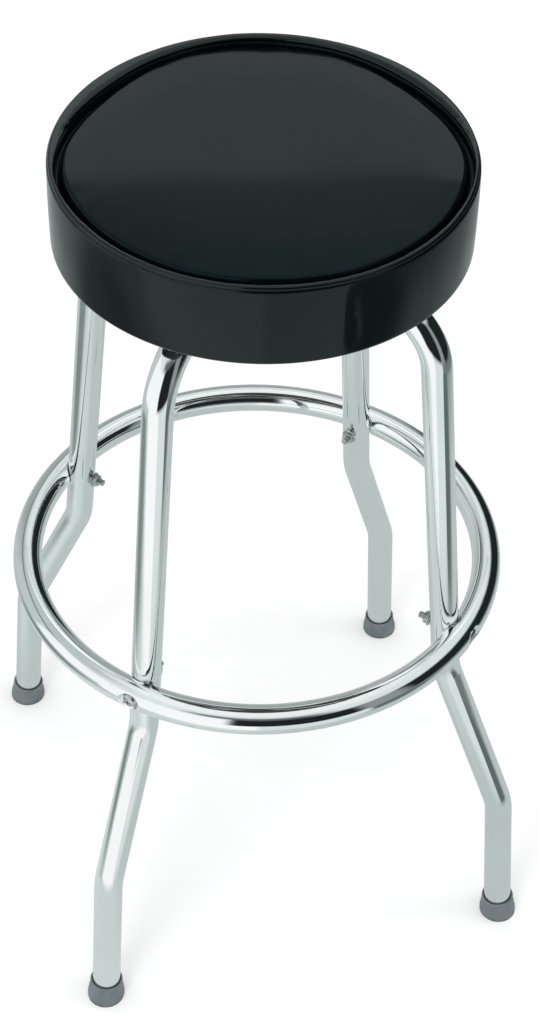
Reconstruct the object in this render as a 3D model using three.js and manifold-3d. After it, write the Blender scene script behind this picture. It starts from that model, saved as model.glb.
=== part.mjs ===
// Round counter stool: a padded swivel seat on four bent tube legs, braced by a foot ring.
// Millimetres, +Z up, origin on the floor under the middle of the seat, legs on the diagonals.

import * as THREE from 'three';
import { mergeVertices } from 'three/addons/utils/BufferGeometryUtils.js';
import Module from 'manifold-3d';

const wasm = await Module();
wasm.setup();

// Driving dimensions of the whole stool
const seatRadius = 167.5; // stool axis to the outside of the bead
const seatBoxDepth = 73; // underside of the seat to the middle of the bead
const topRunHeight = 679; // floor to the axis of a leg's level run under the seat
const shoulderRadius = 155; // stool axis to the corner where a leg turns down
const kneeHeight = 300;
const kneeRadius = 193;
const ankleHeight = 152.5;
const ankleRadius = 258.5;
const footRadius = 271.5; // stool axis to where a leg's axis meets the floor
const ringHeight = 350; // floor to the axis of the foot ring's tube

// Bent tube of the legs and the foot ring
const tubeRadius = 12.7;
const tubeWall = 1.5;
const bendRadius = 57; // of the tube's axis, the same in every bend
const topRunInnerRadius = 30; // stool axis to the inner end of a leg
const saddleDepth = 8; // how far the foot ring is dented round each leg

// Clearances and working values
const gap = 0.3; // between pieces that touch
const cutOverrun = 15; // how far every cut runs past what it cuts
const weldTolerance = 0.0005; // corners closer than this are one corner

// Swivel
const plateSide = 178;
const plateCornerRound = 12;
const plateThickness = 3;
const plateSpacing = 5.4; // between the two plates, where the balls run
const ballRadius = 3.175;
const ballCircleRadius = 39;
const raceClearance = 0.4;
const cageThickness = 1.2;
const cageHalfWidth = 6;
const kingpinRadius = 6;
const kingpinHeadRadius = 11;
const kingpinHeadHeight = 4;
const kingpinWasherRadius = 13;
const kingpinWasherThickness = 1.5;
const kingpinRivetRadius = 9;
const kingpinRivetHeight = 3;
const kingpinRivetEdgeRadiusShare = 0.8; // where the rivet's crown turns in
const kingpinRivetEdgeHeightShare = 0.7;

// Threaded fasteners
const boltRadius = 3;
const holeClearance = 0.5; // on the radius, round every bolt
const flangeRadius = 7; // of the flanges under the hex heads and nuts
const flangeThickness = 1.2;
const hexRadius = 5.8; // to the corners of the bolt heads and nuts
const hexHeadHeight = 4;
const weldNutHeight = 3.8;
const ringNutHeight = 5;
const plateScrewEdge = 9; // plate corner to the middle of its seat screw
const legBoltPitch = 38; // between the two bolts that hold a leg to the plate
const turningClearance = 1; // between what sweeps round on the upper plate and the weld nuts
const panHeadRadius = 6;
const panHeadHeight = 3.1;
const ringHeadRadius = 6.4;
const ringHeadHeight = 3.4;
const ringHeadSeat = 4.2; // depth of the flat dimple pressed into the ring under each head
const crossWidth = 1.3;
const crossDepth = 1.7;
const ringBoltTail = 5.5; // how far a ring bolt stands out of its nut
const teeNutFlangeRadius = 9;
const teeNutFlangeThickness = 1.2;
const teeNutBarrelRadius = 4;
const teeNutBarrelLength = 9;

// Padded seat
const boardThickness = 12;
const boardEdgeRound = 2;
const boardCentreHoleRadius = 16;
const vinylThickness = 1.2;
const beadRadius = 5.2;
const beadProud = 1.3; // how far the bead stands out from the side band
const valleyDepth = 3; // of the groove inside the bead, below the bead's middle
const crownRise = 9.5; // middle of the top panel above the groove
const crownPower = 2.6; // a higher number is flatter in the middle and steeper at the edge
const bandBulge = 0.5; // middle of the side band beyond its drawn-in edges
const bandCornerRound = 2.6;
const hemWidth = 20; // turned under the board

// Rubber feet and the steel discs inside them
const footHeight = 21;
const footTopRadius = 14.9;
const footBaseRadius = 16.9;
const footLipRound = 0.7;
const footSkirtShare = 0.3; // of the foot's height, up to where it is as wide as its base
const footWaistHeightShare = 0.6;
const footWaistWidthShare = 1 / 3; // of the way from the top radius to the base radius
const footCollarShare = 0.85; // of the foot's height, from where it is as wide as its top
const soleThickness = 4.5;
const glideThickness = 1.5;
const glideEdgeClearance = 1.2;

// Counts and angles
const corners = ['front_left', 'front_right', 'back_right', 'back_left'];
const legBearings = corners.map((_, i) => ((2 * i - 3) * Math.PI) / corners.length);
const tuckStartAngle = 218; // round the bead's middle, where the top panel goes under it
const tuckEndAngle = 262;
const tubeSides = 14;
const boreSides = 8;
const shoulderSegments = 5;
const kneeSegments = 2;
const ankleSegments = 2;
const ringSegments = 44;
const raceSegments = 40;
const seatSegments = 48;
const beadSides = 8;
const crownSegments = 5;
const bandSegments = 2;
const cornerSegments = 2;
const domeSegments = 3;
const smallSides = 10;
const holeSides = 8;
const hexSides = 6;
const ballCount = 10;
const cageSidesPerBall = 3;
const ballFacetLevel = 1;

// Finishes
const chrome = { color: 0xdfe4e4, roughness: 0.08, metalness: 1 };
const zinc = { color: 0xb9bdbd, roughness: 0.35, metalness: 1 };
const brightSteel = { color: 0xd0d2d4, roughness: 0.15, metalness: 1 };
const plateBlack = { color: 0x24272a, roughness: 0.45, metalness: 0.4 };
const blackVinyl = { color: 0x161c1d, roughness: 0.28, metalness: 0 };
const greyRubber = { color: 0x667074, roughness: 0.7, metalness: 0 };
const plywood = { color: 0xb88f5e, roughness: 0.65, metalness: 0 };
const creamFoam = { color: 0xe3d9b4, roughness: 0.9, metalness: 0 };
const brass = { color: 0xb59a54, roughness: 0.35, metalness: 1 };

function makePiece(name, geometry, finish) {
  const mesh = new THREE.Mesh(geometry, new THREE.MeshStandardMaterial(finish));
  mesh.name = name;
  return mesh;
}

// Solids and cuts

function closed(geometry) {
  const bare = new THREE.BufferGeometry();
  bare.setAttribute('position', geometry.getAttribute('position').clone());
  if (geometry.index) {
    bare.setIndex(Array.from(geometry.index.array));
  }
  const welded = mergeVertices(bare, weldTolerance);
  const corners = Array.from(welded.index.array);
  const kept = [];
  for (let i = 0; i < corners.length; i += 3) {
    const [a, b, c] = corners.slice(i, i + 3);
    if (a !== b && b !== c && c !== a) {
      kept.push(a, b, c);
    }
  }
  welded.setIndex(kept);
  welded.computeVertexNormals();
  return welded;
}

function toManifold(geometry) {
  const welded = closed(geometry);
  const vertProperties = new Float32Array(welded.getAttribute('position').array);
  const triVerts = Uint32Array.from(welded.index.array);
  return new wasm.Manifold(new wasm.Mesh({ numProp: 3, vertProperties, triVerts }));
}

function fromManifold(solid) {
  const mesh = solid.getMesh();
  const geometry = new THREE.BufferGeometry();
  geometry.setAttribute('position', new THREE.BufferAttribute(new Float32Array(mesh.vertProperties), 3));
  geometry.setIndex(Array.from(mesh.triVerts));
  geometry.computeVertexNormals();
  return geometry;
}

function subtract(geometry, cutters) {
  const left = cutters.reduce((solid, cutter) => solid.subtract(toManifold(cutter)), toManifold(geometry));
  return fromManifold(left);
}

function join(geometries) {
  const [first, ...others] = geometries.map(toManifold);
  return fromManifold(others.reduce((solid, other) => solid.add(other), first));
}

function turned(bearing) {
  return new THREE.Matrix4().makeRotationZ(bearing);
}

function moved(x, y, z) {
  return new THREE.Matrix4().makeTranslation(x, y, z);
}

function evenBearings(count) {
  return Array.from({ length: count }, (_, i) => (2 * Math.PI * i) / count);
}

const atEachLeg = legBearings.map(turned);

// Basic shapes, standing on +Z

function upright(radius, bottom, top, sides = smallSides) {
  const cylinder = new THREE.CylinderGeometry(radius, radius, top - bottom, sides);
  cylinder.rotateX(Math.PI / 2);
  cylinder.translate(0, 0, (bottom + top) / 2);
  return cylinder;
}

// A faceted bore measures its radius to the corners, so it is made this much larger for its flats to clear
function clearOf(radius, sides) {
  return radius / Math.cos(Math.PI / sides);
}

function bore(radius, bottom, top, sides = smallSides) {
  return upright(clearOf(radius, sides), bottom, top, sides);
}

function lathe(profile, segments) {
  const outline = profile.map(([radius, height]) => new THREE.Vector2(radius, height));
  if (THREE.ShapeUtils.area(outline) < 0) {
    outline.reverse();
  }
  if (outline[0].x > 0 || outline.at(-1).x > 0) {
    outline.push(outline[0].clone());
  }
  const turnedSolid = new THREE.LatheGeometry(outline, segments);
  turnedSolid.rotateX(Math.PI / 2);
  return turnedSolid;
}

function polygon(radius, sides) {
  return evenBearings(sides).map(
    (angle) => new THREE.Vector2(radius * Math.cos(angle), radius * Math.sin(angle)),
  );
}

// A line of [radius, height] points given a thickness on its right-hand side
function thickened(line, thickness) {
  const directions = line.slice(1).map(([radius, height], i) => {
    return new THREE.Vector2(radius - line[i][0], height - line[i][1]).normalize();
  });
  const inner = line.map(([radius, height], i) => {
    const before = directions[Math.max(i - 1, 0)];
    const after = directions[Math.min(i, directions.length - 1)];
    const middle = before.clone().add(after).normalize();
    const reach = thickness / middle.dot(after);
    return [Math.max(radius + middle.y * reach, 0), height - middle.x * reach];
  });
  return [...line, ...inner.reverse()];
}

function arcPoints(centre, radius, fromDegrees, toDegrees, steps) {
  return Array.from({ length: steps + 1 }, (_, i) => {
    const angle = THREE.MathUtils.degToRad(fromDegrees + ((toDegrees - fromDegrees) * i) / steps);
    return [centre[0] + radius * Math.cos(angle), centre[1] + radius * Math.sin(angle)];
  });
}

// Bolts and screws have their head from 0 down and their shank from 0 up
function flangeBolt(length) {
  return join([
    upright(hexRadius, -hexHeadHeight, -flangeThickness / 2, hexSides),
    upright(flangeRadius, -flangeThickness, 0),
    upright(boltRadius, -hexHeadHeight / 2, length, holeSides),
  ]);
}

function domedScrew(headRadius, headHeight, length) {
  const dome = Array.from({ length: domeSegments + 1 }, (_, i) => {
    const angle = (Math.PI / 2) * (i / domeSegments);
    return [headRadius * Math.cos(angle), -headHeight * Math.sin(angle)];
  });
  dome.at(-1)[0] = 0;
  return lathe([[0, length], [boltRadius, length], [boltRadius, 0], ...dome], smallSides);
}

// Legs

// The path of a leg's axis, as points with directions, in the plane of the stool's axis
function legStations() {
  const turns = [
    { radius: topRunInnerRadius, height: topRunHeight },
    { radius: shoulderRadius, height: topRunHeight, segments: shoulderSegments },
    { radius: kneeRadius, height: kneeHeight, segments: kneeSegments },
    { radius: ankleRadius, height: ankleHeight, segments: ankleSegments },
    { radius: footRadius, height: 0 },
  ].map((place) => ({ ...place, point: new THREE.Vector3(place.radius, 0, place.height) }));
  const along = turns.slice(1).map((next, i) => next.point.clone().sub(turns[i].point).normalize());
  const stations = [{ point: turns[0].point, direction: along[0] }];
  for (let i = 1; i < turns.length - 1; i += 1) {
    const turn = along[i - 1].angleTo(along[i]);
    const lead = bendRadius * Math.tan(turn / 2);
    const start = turns[i].point.clone().addScaledVector(along[i - 1], -lead);
    const across = along[i].clone().addScaledVector(along[i - 1], -Math.cos(turn)).normalize();
    for (let step = 0; step <= turns[i].segments; step += 1) {
      const angle = (turn * step) / turns[i].segments;
      stations.push({
        point: start
          .clone()
          .addScaledVector(along[i - 1], bendRadius * Math.sin(angle))
          .addScaledVector(across, bendRadius * (1 - Math.cos(angle))),
        direction: along[i - 1]
          .clone()
          .multiplyScalar(Math.cos(angle))
          .addScaledVector(across, Math.sin(angle)),
      });
    }
  }
  const endRise = soleThickness + glideThickness + 2 * gap;
  stations.push({
    point: turns.at(-1).point.clone().addScaledVector(along.at(-1), -endRise),
    direction: along.at(-1),
  });
  return stations;
}

class StationPath extends THREE.Curve {
  constructor(stations) {
    super();
    this.stations = stations;
  }

  stationAt(share) {
    return this.stations[Math.round(share * (this.stations.length - 1))];
  }

  getPointAt(share) {
    return this.stationAt(share).point.clone();
  }

  getTangentAt(share) {
    return this.stationAt(share).direction.clone();
  }
}

const legLine = legStations();

function legTube(outerRadius, boreRadius) {
  const section = new THREE.Shape(polygon(outerRadius, tubeSides));
  if (boreRadius > 0) {
    section.holes.push(new THREE.Path(polygon(boreRadius, boreSides)));
  }
  return new THREE.ExtrudeGeometry(section, {
    steps: legLine.length - 1,
    extrudePath: new StationPath(legLine),
  });
}

// Where a leg's axis is at a height below its shoulder
function legAxisRadiusAt(height) {
  const upper = legLine.findLastIndex((station) => station.point.z >= height);
  const [from, to] = [legLine[upper].point, legLine[upper + 1].point];
  return THREE.MathUtils.mapLinear(height, from.z, to.z, from.x, to.x);
}

// Swivel heights, from the legs up
const lowerPlateBottom = topRunHeight + tubeRadius + gap;
const lowerPlateTop = lowerPlateBottom + plateThickness;
const upperPlateBottom = lowerPlateTop + plateSpacing;
const upperPlateTop = upperPlateBottom + plateThickness;
const ballHeight = (lowerPlateTop + upperPlateBottom) / 2;
const weldNutTop = lowerPlateTop + weldNutHeight;

// Places of the bolts on the plates, from the stool axis
const plateCornerReach = Math.SQRT2 * (plateSide / 2 - plateCornerRound) + plateCornerRound;
const seatScrewCircle = plateCornerReach - plateScrewEdge;
const outerLegBolt = seatScrewCircle - panHeadRadius - hexRadius - turningClearance;
const legBoltPlaces = [outerLegBolt, outerLegBolt - legBoltPitch];
const legBoltHeadTop = topRunHeight - tubeRadius - gap;

// Foot ring and its bolts, in the plane of one leg
const ringLegRadius = legAxisRadiusAt(ringHeight);
const ringRadius = ringLegRadius + 2 * tubeRadius - saddleDepth;
const ringSeatFace = ringRadius + tubeRadius - ringHeadSeat;
const slopeAtRing = Math.abs(
  legAxisRadiusAt(ringHeight - flangeRadius) - legAxisRadiusAt(ringHeight + flangeRadius),
) / 2;
const tubeReachAtRing = tubeRadius * Math.hypot(1, slopeAtRing / flangeRadius);
const ringNutFace = ringLegRadius - tubeReachAtRing - slopeAtRing - gap;
const ringBoltEnd = ringNutFace - ringNutHeight - ringBoltTail;

// Turns a piece made on +Z so that it points to the stool axis, with its zero at a radius
function inwardFrom(radius) {
  return moved(radius, 0, ringHeight).multiply(new THREE.Matrix4().makeRotationY(-Math.PI / 2));
}

function boltHoleAlongRing() {
  const hole = bore(boltRadius + holeClearance, -cutOverrun, ringSeatFace, holeSides);
  return hole.applyMatrix4(inwardFrom(ringSeatFace));
}

function makeLeg() {
  const plateBoltHoles = legBoltPlaces.map((place) => {
    const reach = tubeRadius + cutOverrun;
    const hole = bore(boltRadius + holeClearance, topRunHeight - reach, topRunHeight + reach, holeSides);
    return hole.translate(place, 0, 0);
  });
  return subtract(legTube(tubeRadius, tubeRadius - tubeWall), [...plateBoltHoles, boltHoleAlongRing()]);
}

// The ring's skin is the ring less its bore, and both are dented alike round the legs and bolt heads
function dentedRing(radius, allowance) {
  const sides = radius < tubeRadius ? boreSides : tubeSides;
  const ring = new THREE.TorusGeometry(ringRadius, radius, sides, ringSegments);
  ring.translate(0, 0, ringHeight);
  const legDent = legTube(tubeRadius + gap + allowance, 0);
  const headDent = bore(ringHeadRadius + gap + allowance, -cutOverrun, allowance, smallSides);
  headDent.applyMatrix4(inwardFrom(ringSeatFace));
  const dents = atEachLeg.flatMap((place) => [
    legDent.clone().applyMatrix4(place),
    headDent.clone().applyMatrix4(place),
  ]);
  return subtract(ring, dents);
}

function makeFootRing() {
  const holes = atEachLeg.map((place) => boltHoleAlongRing().applyMatrix4(place));
  return subtract(dentedRing(tubeRadius, 0), [dentedRing(tubeRadius - tubeWall, tubeWall), ...holes]);
}

// Fasteners of the foot ring, made on +Z and laid along the ring's bolt holes

function makeRingBolt() {
  const length = ringSeatFace + gap - ringBoltEnd;
  const slot = new THREE.BoxGeometry(ringHeadRadius, crossWidth, crossDepth * 2);
  slot.translate(0, 0, -ringHeadHeight);
  const crossSlot = slot.clone().rotateZ(Math.PI / 2);
  const bolt = subtract(domedScrew(ringHeadRadius, ringHeadHeight, length), [slot, crossSlot]);
  return bolt.applyMatrix4(inwardFrom(ringSeatFace + gap));
}

function makeRingNut() {
  const whole = join([
    upright(flangeRadius, 0, flangeThickness),
    upright(hexRadius, flangeThickness / 2, ringNutHeight, hexSides),
  ]);
  const hole = bore(boltRadius + gap, -cutOverrun, ringNutHeight + cutOverrun, holeSides);
  return subtract(whole, [hole]).applyMatrix4(inwardFrom(ringNutFace));
}

// Rubber feet, made round a leg's axis with zero on the floor, then cut level

const [anklePoint, solePoint] = [
  new THREE.Vector3(ankleRadius, 0, ankleHeight),
  new THREE.Vector3(footRadius, 0, 0),
];
const footTurn = new THREE.Quaternion().setFromUnitVectors(
  new THREE.Vector3(0, 0, 1),
  anklePoint.clone().sub(solePoint).normalize(),
);
const alongFoot = new THREE.Matrix4().compose(solePoint, footTurn, new THREE.Vector3(1, 1, 1));

function makeRubberFoot() {
  const socketRadius = clearOf(tubeRadius + gap, tubeSides);
  const waistRadius = THREE.MathUtils.lerp(footTopRadius, footBaseRadius, footWaistWidthShare);
  const profile = [
    [0, -footBaseRadius],
    [footBaseRadius, -footBaseRadius],
    [footBaseRadius, footHeight * footSkirtShare],
    [waistRadius, footHeight * footWaistHeightShare],
    [footTopRadius, footHeight * footCollarShare],
    [footTopRadius, footHeight - footLipRound],
    [footTopRadius - footLipRound, footHeight],
    [socketRadius, footHeight],
    [socketRadius, soleThickness],
    [0, soleThickness],
  ];
  const whole = lathe(profile, tubeSides).applyMatrix4(alongFoot);
  const cutSide = 2 * (footBaseRadius + cutOverrun);
  const below = new THREE.BoxGeometry(cutSide, cutSide, cutSide);
  below.translate(footRadius, 0, -cutSide / 2);
  return subtract(whole, [below]);
}

function makeGlideDisc() {
  const bottom = soleThickness + gap;
  const disc = upright(tubeRadius - glideEdgeClearance, bottom, bottom + glideThickness, tubeSides);
  return disc.applyMatrix4(alongFoot);
}

// Swivel

const atEachLegBolt = atEachLeg.flatMap((turn) => {
  return legBoltPlaces.map((place) => turn.clone().multiply(moved(place, 0, 0)));
});
const atEachSeatScrew = atEachLeg.map((turn) => turn.clone().multiply(moved(seatScrewCircle, 0, 0)));

function plateBlank(bottom) {
  const inner = plateSide / 2 - plateCornerRound;
  const outline = new THREE.Shape();
  outline.absarc(inner, inner, plateCornerRound, 0, Math.PI / 2);
  outline.absarc(-inner, inner, plateCornerRound, Math.PI / 2, Math.PI);
  outline.absarc(-inner, -inner, plateCornerRound, Math.PI, 1.5 * Math.PI);
  outline.absarc(inner, -inner, plateCornerRound, 1.5 * Math.PI, 2 * Math.PI);
  const blank = new THREE.ExtrudeGeometry(outline, {
    depth: plateThickness,
    bevelEnabled: false,
    curveSegments: cornerSegments,
  });
  return blank.translate(0, 0, bottom);
}

function boltHoles(placements) {
  return placements.map((place) => {
    const [bottom, top] = [lowerPlateBottom - cutOverrun, upperPlateTop + cutOverrun];
    return bore(boltRadius + holeClearance, bottom, top, holeSides).applyMatrix4(place);
  });
}

function plateCuts(placements) {
  const raceRadius = ballRadius + raceClearance;
  const race = new THREE.TorusGeometry(ballCircleRadius, raceRadius, smallSides, raceSegments);
  const centreHole = bore(kingpinRadius + gap, lowerPlateBottom - cutOverrun, upperPlateTop + cutOverrun);
  return [race.translate(0, 0, ballHeight), centreHole, ...boltHoles(placements)];
}

// The lower plate carries a nut welded over each leg bolt
function makeLowerPlate() {
  const nut = upright(hexRadius, lowerPlateBottom + plateThickness / 2, weldNutTop, hexSides);
  const nuts = atEachLegBolt.map((place) => nut.clone().applyMatrix4(place));
  return subtract(join([plateBlank(lowerPlateBottom), ...nuts]), plateCuts(atEachLegBolt));
}

function makeUpperPlate() {
  return subtract(plateBlank(upperPlateBottom), plateCuts(atEachSeatScrew));
}

function makeKingpin() {
  const headTop = lowerPlateBottom - gap;
  const rivetBottom = upperPlateTop + kingpinWasherThickness + 2 * gap;
  return lathe(
    [
      [0, headTop - kingpinHeadHeight],
      [kingpinHeadRadius, headTop - kingpinHeadHeight],
      [kingpinHeadRadius, headTop],
      [kingpinRadius, headTop],
      [kingpinRadius, rivetBottom],
      [kingpinRivetRadius, rivetBottom],
      [
        kingpinRivetRadius * kingpinRivetEdgeRadiusShare,
        rivetBottom + kingpinRivetHeight * kingpinRivetEdgeHeightShare,
      ],
      [0, rivetBottom + kingpinRivetHeight],
    ],
    tubeSides,
  );
}

function makeKingpinWasher() {
  const bottom = upperPlateTop + gap;
  const top = bottom + kingpinWasherThickness;
  const disc = upright(kingpinWasherRadius, bottom, top, tubeSides);
  return subtract(disc, [bore(kingpinRadius + gap, bottom - cutOverrun, top + cutOverrun)]);
}

// The cage is a flat ring with a round pocket for each ball
function makeBallCage() {
  const cageSides = ballCount * cageSidesPerBall;
  const outline = new THREE.Shape(polygon(ballCircleRadius + cageHalfWidth, cageSides));
  outline.holes.push(new THREE.Path(polygon(ballCircleRadius - cageHalfWidth, cageSides)));
  const pocketRadius = clearOf(ballRadius + gap, holeSides);
  for (const bearing of evenBearings(ballCount)) {
    const middle = new THREE.Vector2(ballCircleRadius, 0).rotateAround(new THREE.Vector2(), bearing);
    const pocket = polygon(pocketRadius, holeSides).map((point) => point.add(middle));
    outline.holes.push(new THREE.Path(pocket));
  }
  const cage = new THREE.ExtrudeGeometry(outline, { depth: cageThickness, bevelEnabled: false });
  return cage.translate(0, 0, ballHeight - cageThickness / 2);
}

// Bolts from below hold each leg to the lower plate
function makeLegBolt(place) {
  return flangeBolt(weldNutTop - legBoltHeadTop).translate(place, 0, legBoltHeadTop);
}

// Seat board and what fastens it to the upper plate

const boardBottom = upperPlateTop + gap;
const boardTop = boardBottom + boardThickness;
const seatUnderside = boardBottom - gap - vinylThickness;
const beadHeight = seatUnderside + seatBoxDepth;
const bandRadius = seatRadius - beadProud; // at its bulge
const bandEdgeRadius = bandRadius - bandBulge;
const coreRadius = bandEdgeRadius - vinylThickness - gap; // of the board and the foam
const teeNutSeat = boardTop - teeNutFlangeThickness - gap;

function makeSeatBoard() {
  const blank = lathe(
    [
      [0, boardBottom],
      [coreRadius - boardEdgeRound, boardBottom],
      [coreRadius, boardBottom + boardEdgeRound],
      [coreRadius, boardTop],
      [0, boardTop],
    ],
    seatSegments,
  );
  const centreHole = bore(boardCentreHoleRadius, boardBottom - cutOverrun, boardTop + cutOverrun, tubeSides);
  const screwHoles = atEachSeatScrew.flatMap((place) => [
    bore(teeNutBarrelRadius + gap, boardBottom - cutOverrun, boardTop).applyMatrix4(place),
    bore(teeNutFlangeRadius + gap, teeNutSeat - gap, boardTop + cutOverrun).applyMatrix4(place),
  ]);
  return subtract(blank, [centreHole, ...screwHoles]);
}

function makeTeeNut() {
  const flangeTop = teeNutSeat + teeNutFlangeThickness;
  const barrelBottom = teeNutSeat - teeNutBarrelLength;
  const threadRadius = clearOf(boltRadius + gap, smallSides);
  return lathe(
    [
      [threadRadius, barrelBottom],
      [teeNutBarrelRadius, barrelBottom],
      [teeNutBarrelRadius, teeNutSeat],
      [teeNutFlangeRadius, teeNutSeat],
      [teeNutFlangeRadius, flangeTop],
      [threadRadius, flangeTop],
    ],
    smallSides,
  ).translate(seatScrewCircle, 0, 0);
}

function makeSeatScrew() {
  const headFace = upperPlateBottom - gap;
  const screw = domedScrew(panHeadRadius, panHeadHeight, teeNutSeat - headFace);
  return screw.translate(seatScrewCircle, 0, headFace);
}

// Padding and cover

const beadCentreRadius = seatRadius - beadRadius;
const valleyRadius = beadCentreRadius - beadRadius - gap;
const valleyHeight = beadHeight - valleyDepth;
const seamHeight = beadHeight - beadRadius - 2 * gap;

// Height of the top panel's outer face inside the groove
function crownHeight(radius) {
  return valleyHeight + crownRise * (1 - (radius / valleyRadius) ** crownPower);
}

function crownLine(lowered, edge) {
  return Array.from({ length: crownSegments + 1 }, (_, i) => {
    const radius = edge * Math.sin((Math.PI / 2) * (i / crownSegments));
    return [radius, crownHeight(radius) - lowered];
  });
}

function makeTopPanel() {
  const tuckRadius = clearOf(beadRadius + gap, beadSides);
  const tuckCentre = [beadCentreRadius, beadHeight];
  const tuck = arcPoints(tuckCentre, tuckRadius, tuckStartAngle, tuckEndAngle, cornerSegments);
  return lathe(thickened([...crownLine(0, valleyRadius - gap), ...tuck], vinylThickness), seatSegments);
}

function makeFoam() {
  const shoulderHeight = seamHeight - vinylThickness - 2 * gap;
  const edge = valleyRadius - vinylThickness - 2 * gap;
  const profile = [
    ...crownLine(vinylThickness + 2 * gap, edge),
    [edge + vinylThickness, shoulderHeight],
    [coreRadius - boardEdgeRound, shoulderHeight],
    [coreRadius, shoulderHeight - boardEdgeRound],
    [coreRadius, boardTop + gap],
    [0, boardTop + gap],
  ];
  return lathe(profile, seatSegments);
}

function makeSideBand() {
  const cornerCentre = [bandEdgeRadius - bandCornerRound, seatUnderside + bandCornerRound];
  const wallTop = seamHeight - vinylThickness;
  const wallBottom = cornerCentre[1];
  const wall = Array.from({ length: bandSegments + 1 }, (_, i) => {
    const share = i / bandSegments;
    const height = THREE.MathUtils.lerp(wallTop, wallBottom, share);
    return [bandEdgeRadius + bandBulge * Math.sin(Math.PI * share), height];
  });
  const corner = arcPoints(cornerCentre, bandCornerRound, 0, -90, cornerSegments).slice(1);
  const hemEnd = [coreRadius - hemWidth, seatUnderside];
  const outerLine = [[beadCentreRadius, seamHeight], ...wall, ...corner, hemEnd];
  return lathe(thickened(outerLine, vinylThickness), seatSegments);
}

function makeBead() {
  const bead = new THREE.TorusGeometry(beadCentreRadius, beadRadius, beadSides, seatSegments);
  return bead.translate(0, 0, beadHeight);
}

// Assembly: the pieces on the stool's axis, then the same set of pieces at each of the four legs

const stool = new THREE.Group();

stool.add(
  makePiece('foot_ring', makeFootRing(), chrome),
  makePiece('swivel_bottom_plate', makeLowerPlate(), plateBlack),
  makePiece('swivel_top_plate', makeUpperPlate(), plateBlack),
  makePiece('kingpin', makeKingpin(), zinc),
  makePiece('kingpin_washer', makeKingpinWasher(), zinc),
  makePiece('ball_cage', makeBallCage(), brass),
  makePiece('seat_board', makeSeatBoard(), plywood),
  makePiece('seat_foam', makeFoam(), creamFoam),
  makePiece('seat_top_panel', makeTopPanel(), blackVinyl),
  makePiece('seat_bead', makeBead(), blackVinyl),
  makePiece('seat_side_band', makeSideBand(), blackVinyl),
);

evenBearings(ballCount).forEach((bearing, i) => {
  const ball = makePiece(
    `swivel_ball_${String(i + 1).padStart(2, '0')}`,
    new THREE.IcosahedronGeometry(ballRadius, ballFacetLevel),
    brightSteel,
  );
  ball.position.set(ballCircleRadius * Math.cos(bearing), ballCircleRadius * Math.sin(bearing), ballHeight);
  stool.add(ball);
});

const atOneLeg = {
  leg: [makeLeg(), chrome],
  rubber_foot: [makeRubberFoot(), greyRubber],
  foot_glide_disc: [makeGlideDisc(), zinc],
  ring_bolt: [makeRingBolt(), zinc],
  ring_nut: [makeRingNut(), zinc],
  leg_bolt_outer: [makeLegBolt(legBoltPlaces[0]), zinc],
  leg_bolt_inner: [makeLegBolt(legBoltPlaces[1]), zinc],
  seat_screw: [makeSeatScrew(), zinc],
  seat_tee_nut: [makeTeeNut(), zinc],
};

corners.forEach((corner, i) => {
  const quarter = new THREE.Group();
  quarter.rotation.z = legBearings[i];
  for (const [kind, [geometry, finish]] of Object.entries(atOneLeg)) {
    quarter.add(makePiece(`${kind}_${corner}`, geometry, finish));
  }
  stool.add(quarter);
});

export default stool;
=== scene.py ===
import math
import random

import bmesh
import bpy
from mathutils import Matrix, Vector


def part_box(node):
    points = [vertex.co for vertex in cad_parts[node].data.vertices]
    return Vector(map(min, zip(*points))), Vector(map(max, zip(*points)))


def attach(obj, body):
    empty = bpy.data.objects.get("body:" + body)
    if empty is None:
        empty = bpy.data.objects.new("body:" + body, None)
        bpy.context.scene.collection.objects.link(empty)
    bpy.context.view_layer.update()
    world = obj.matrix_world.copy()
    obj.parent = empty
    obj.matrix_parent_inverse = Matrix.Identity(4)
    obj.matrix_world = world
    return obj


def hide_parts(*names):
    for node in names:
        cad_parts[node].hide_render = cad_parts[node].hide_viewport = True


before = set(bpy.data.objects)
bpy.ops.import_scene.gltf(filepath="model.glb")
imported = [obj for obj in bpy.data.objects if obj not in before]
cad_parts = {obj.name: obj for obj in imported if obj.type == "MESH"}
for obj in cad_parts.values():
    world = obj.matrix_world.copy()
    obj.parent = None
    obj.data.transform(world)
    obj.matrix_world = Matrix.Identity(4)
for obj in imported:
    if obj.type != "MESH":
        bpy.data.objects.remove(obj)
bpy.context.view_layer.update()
scene = bpy.context.scene
mm = 0.001

# Tubes
tube_radius = 12.7 * mm
tube_wall = 1.5 * mm
tube_sides = 56
bend_radius = 57 * mm
bend_steps = 16
bend_flattening = 0.05  # share of the radius that a bend loses across its inside
flattened_length = 24 * mm
top_run_height = 679 * mm
top_run_inner_end = 30 * mm
shoulder_radius = 155 * mm
knee_height, knee_radius = 300 * mm, 193 * mm
ankle_height, ankle_radius = 152.5 * mm, 258.5 * mm
foot_radius = 271.5 * mm
ring_height = 350 * mm
saddle_depth = 8 * mm
saddle_lip = 2.5 * mm  # width over which the ring's skin turns into a dent
head_flat_depth = 4.2 * mm  # how far the ring's skin is pressed in under a bolt's head
head_flat_margin = 0.5 * mm
head_flat_lip = 0.8 * mm
head_flat_slope = 1.1
leg_bearings = {"front_left": -135, "front_right": -45, "back_right": 45, "back_left": 135}

# Rubber feet
foot_height = 21 * mm
foot_top_radius = 14.9 * mm
foot_base_radius = 16.9 * mm
sole_thickness = 4.5 * mm
glide_thickness = 1.5 * mm
foot_lip, foot_chamfer = 0.7 * mm, 1.5 * mm
foot_step = 0.35 * mm  # how far the foot steps in above its sole

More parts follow.
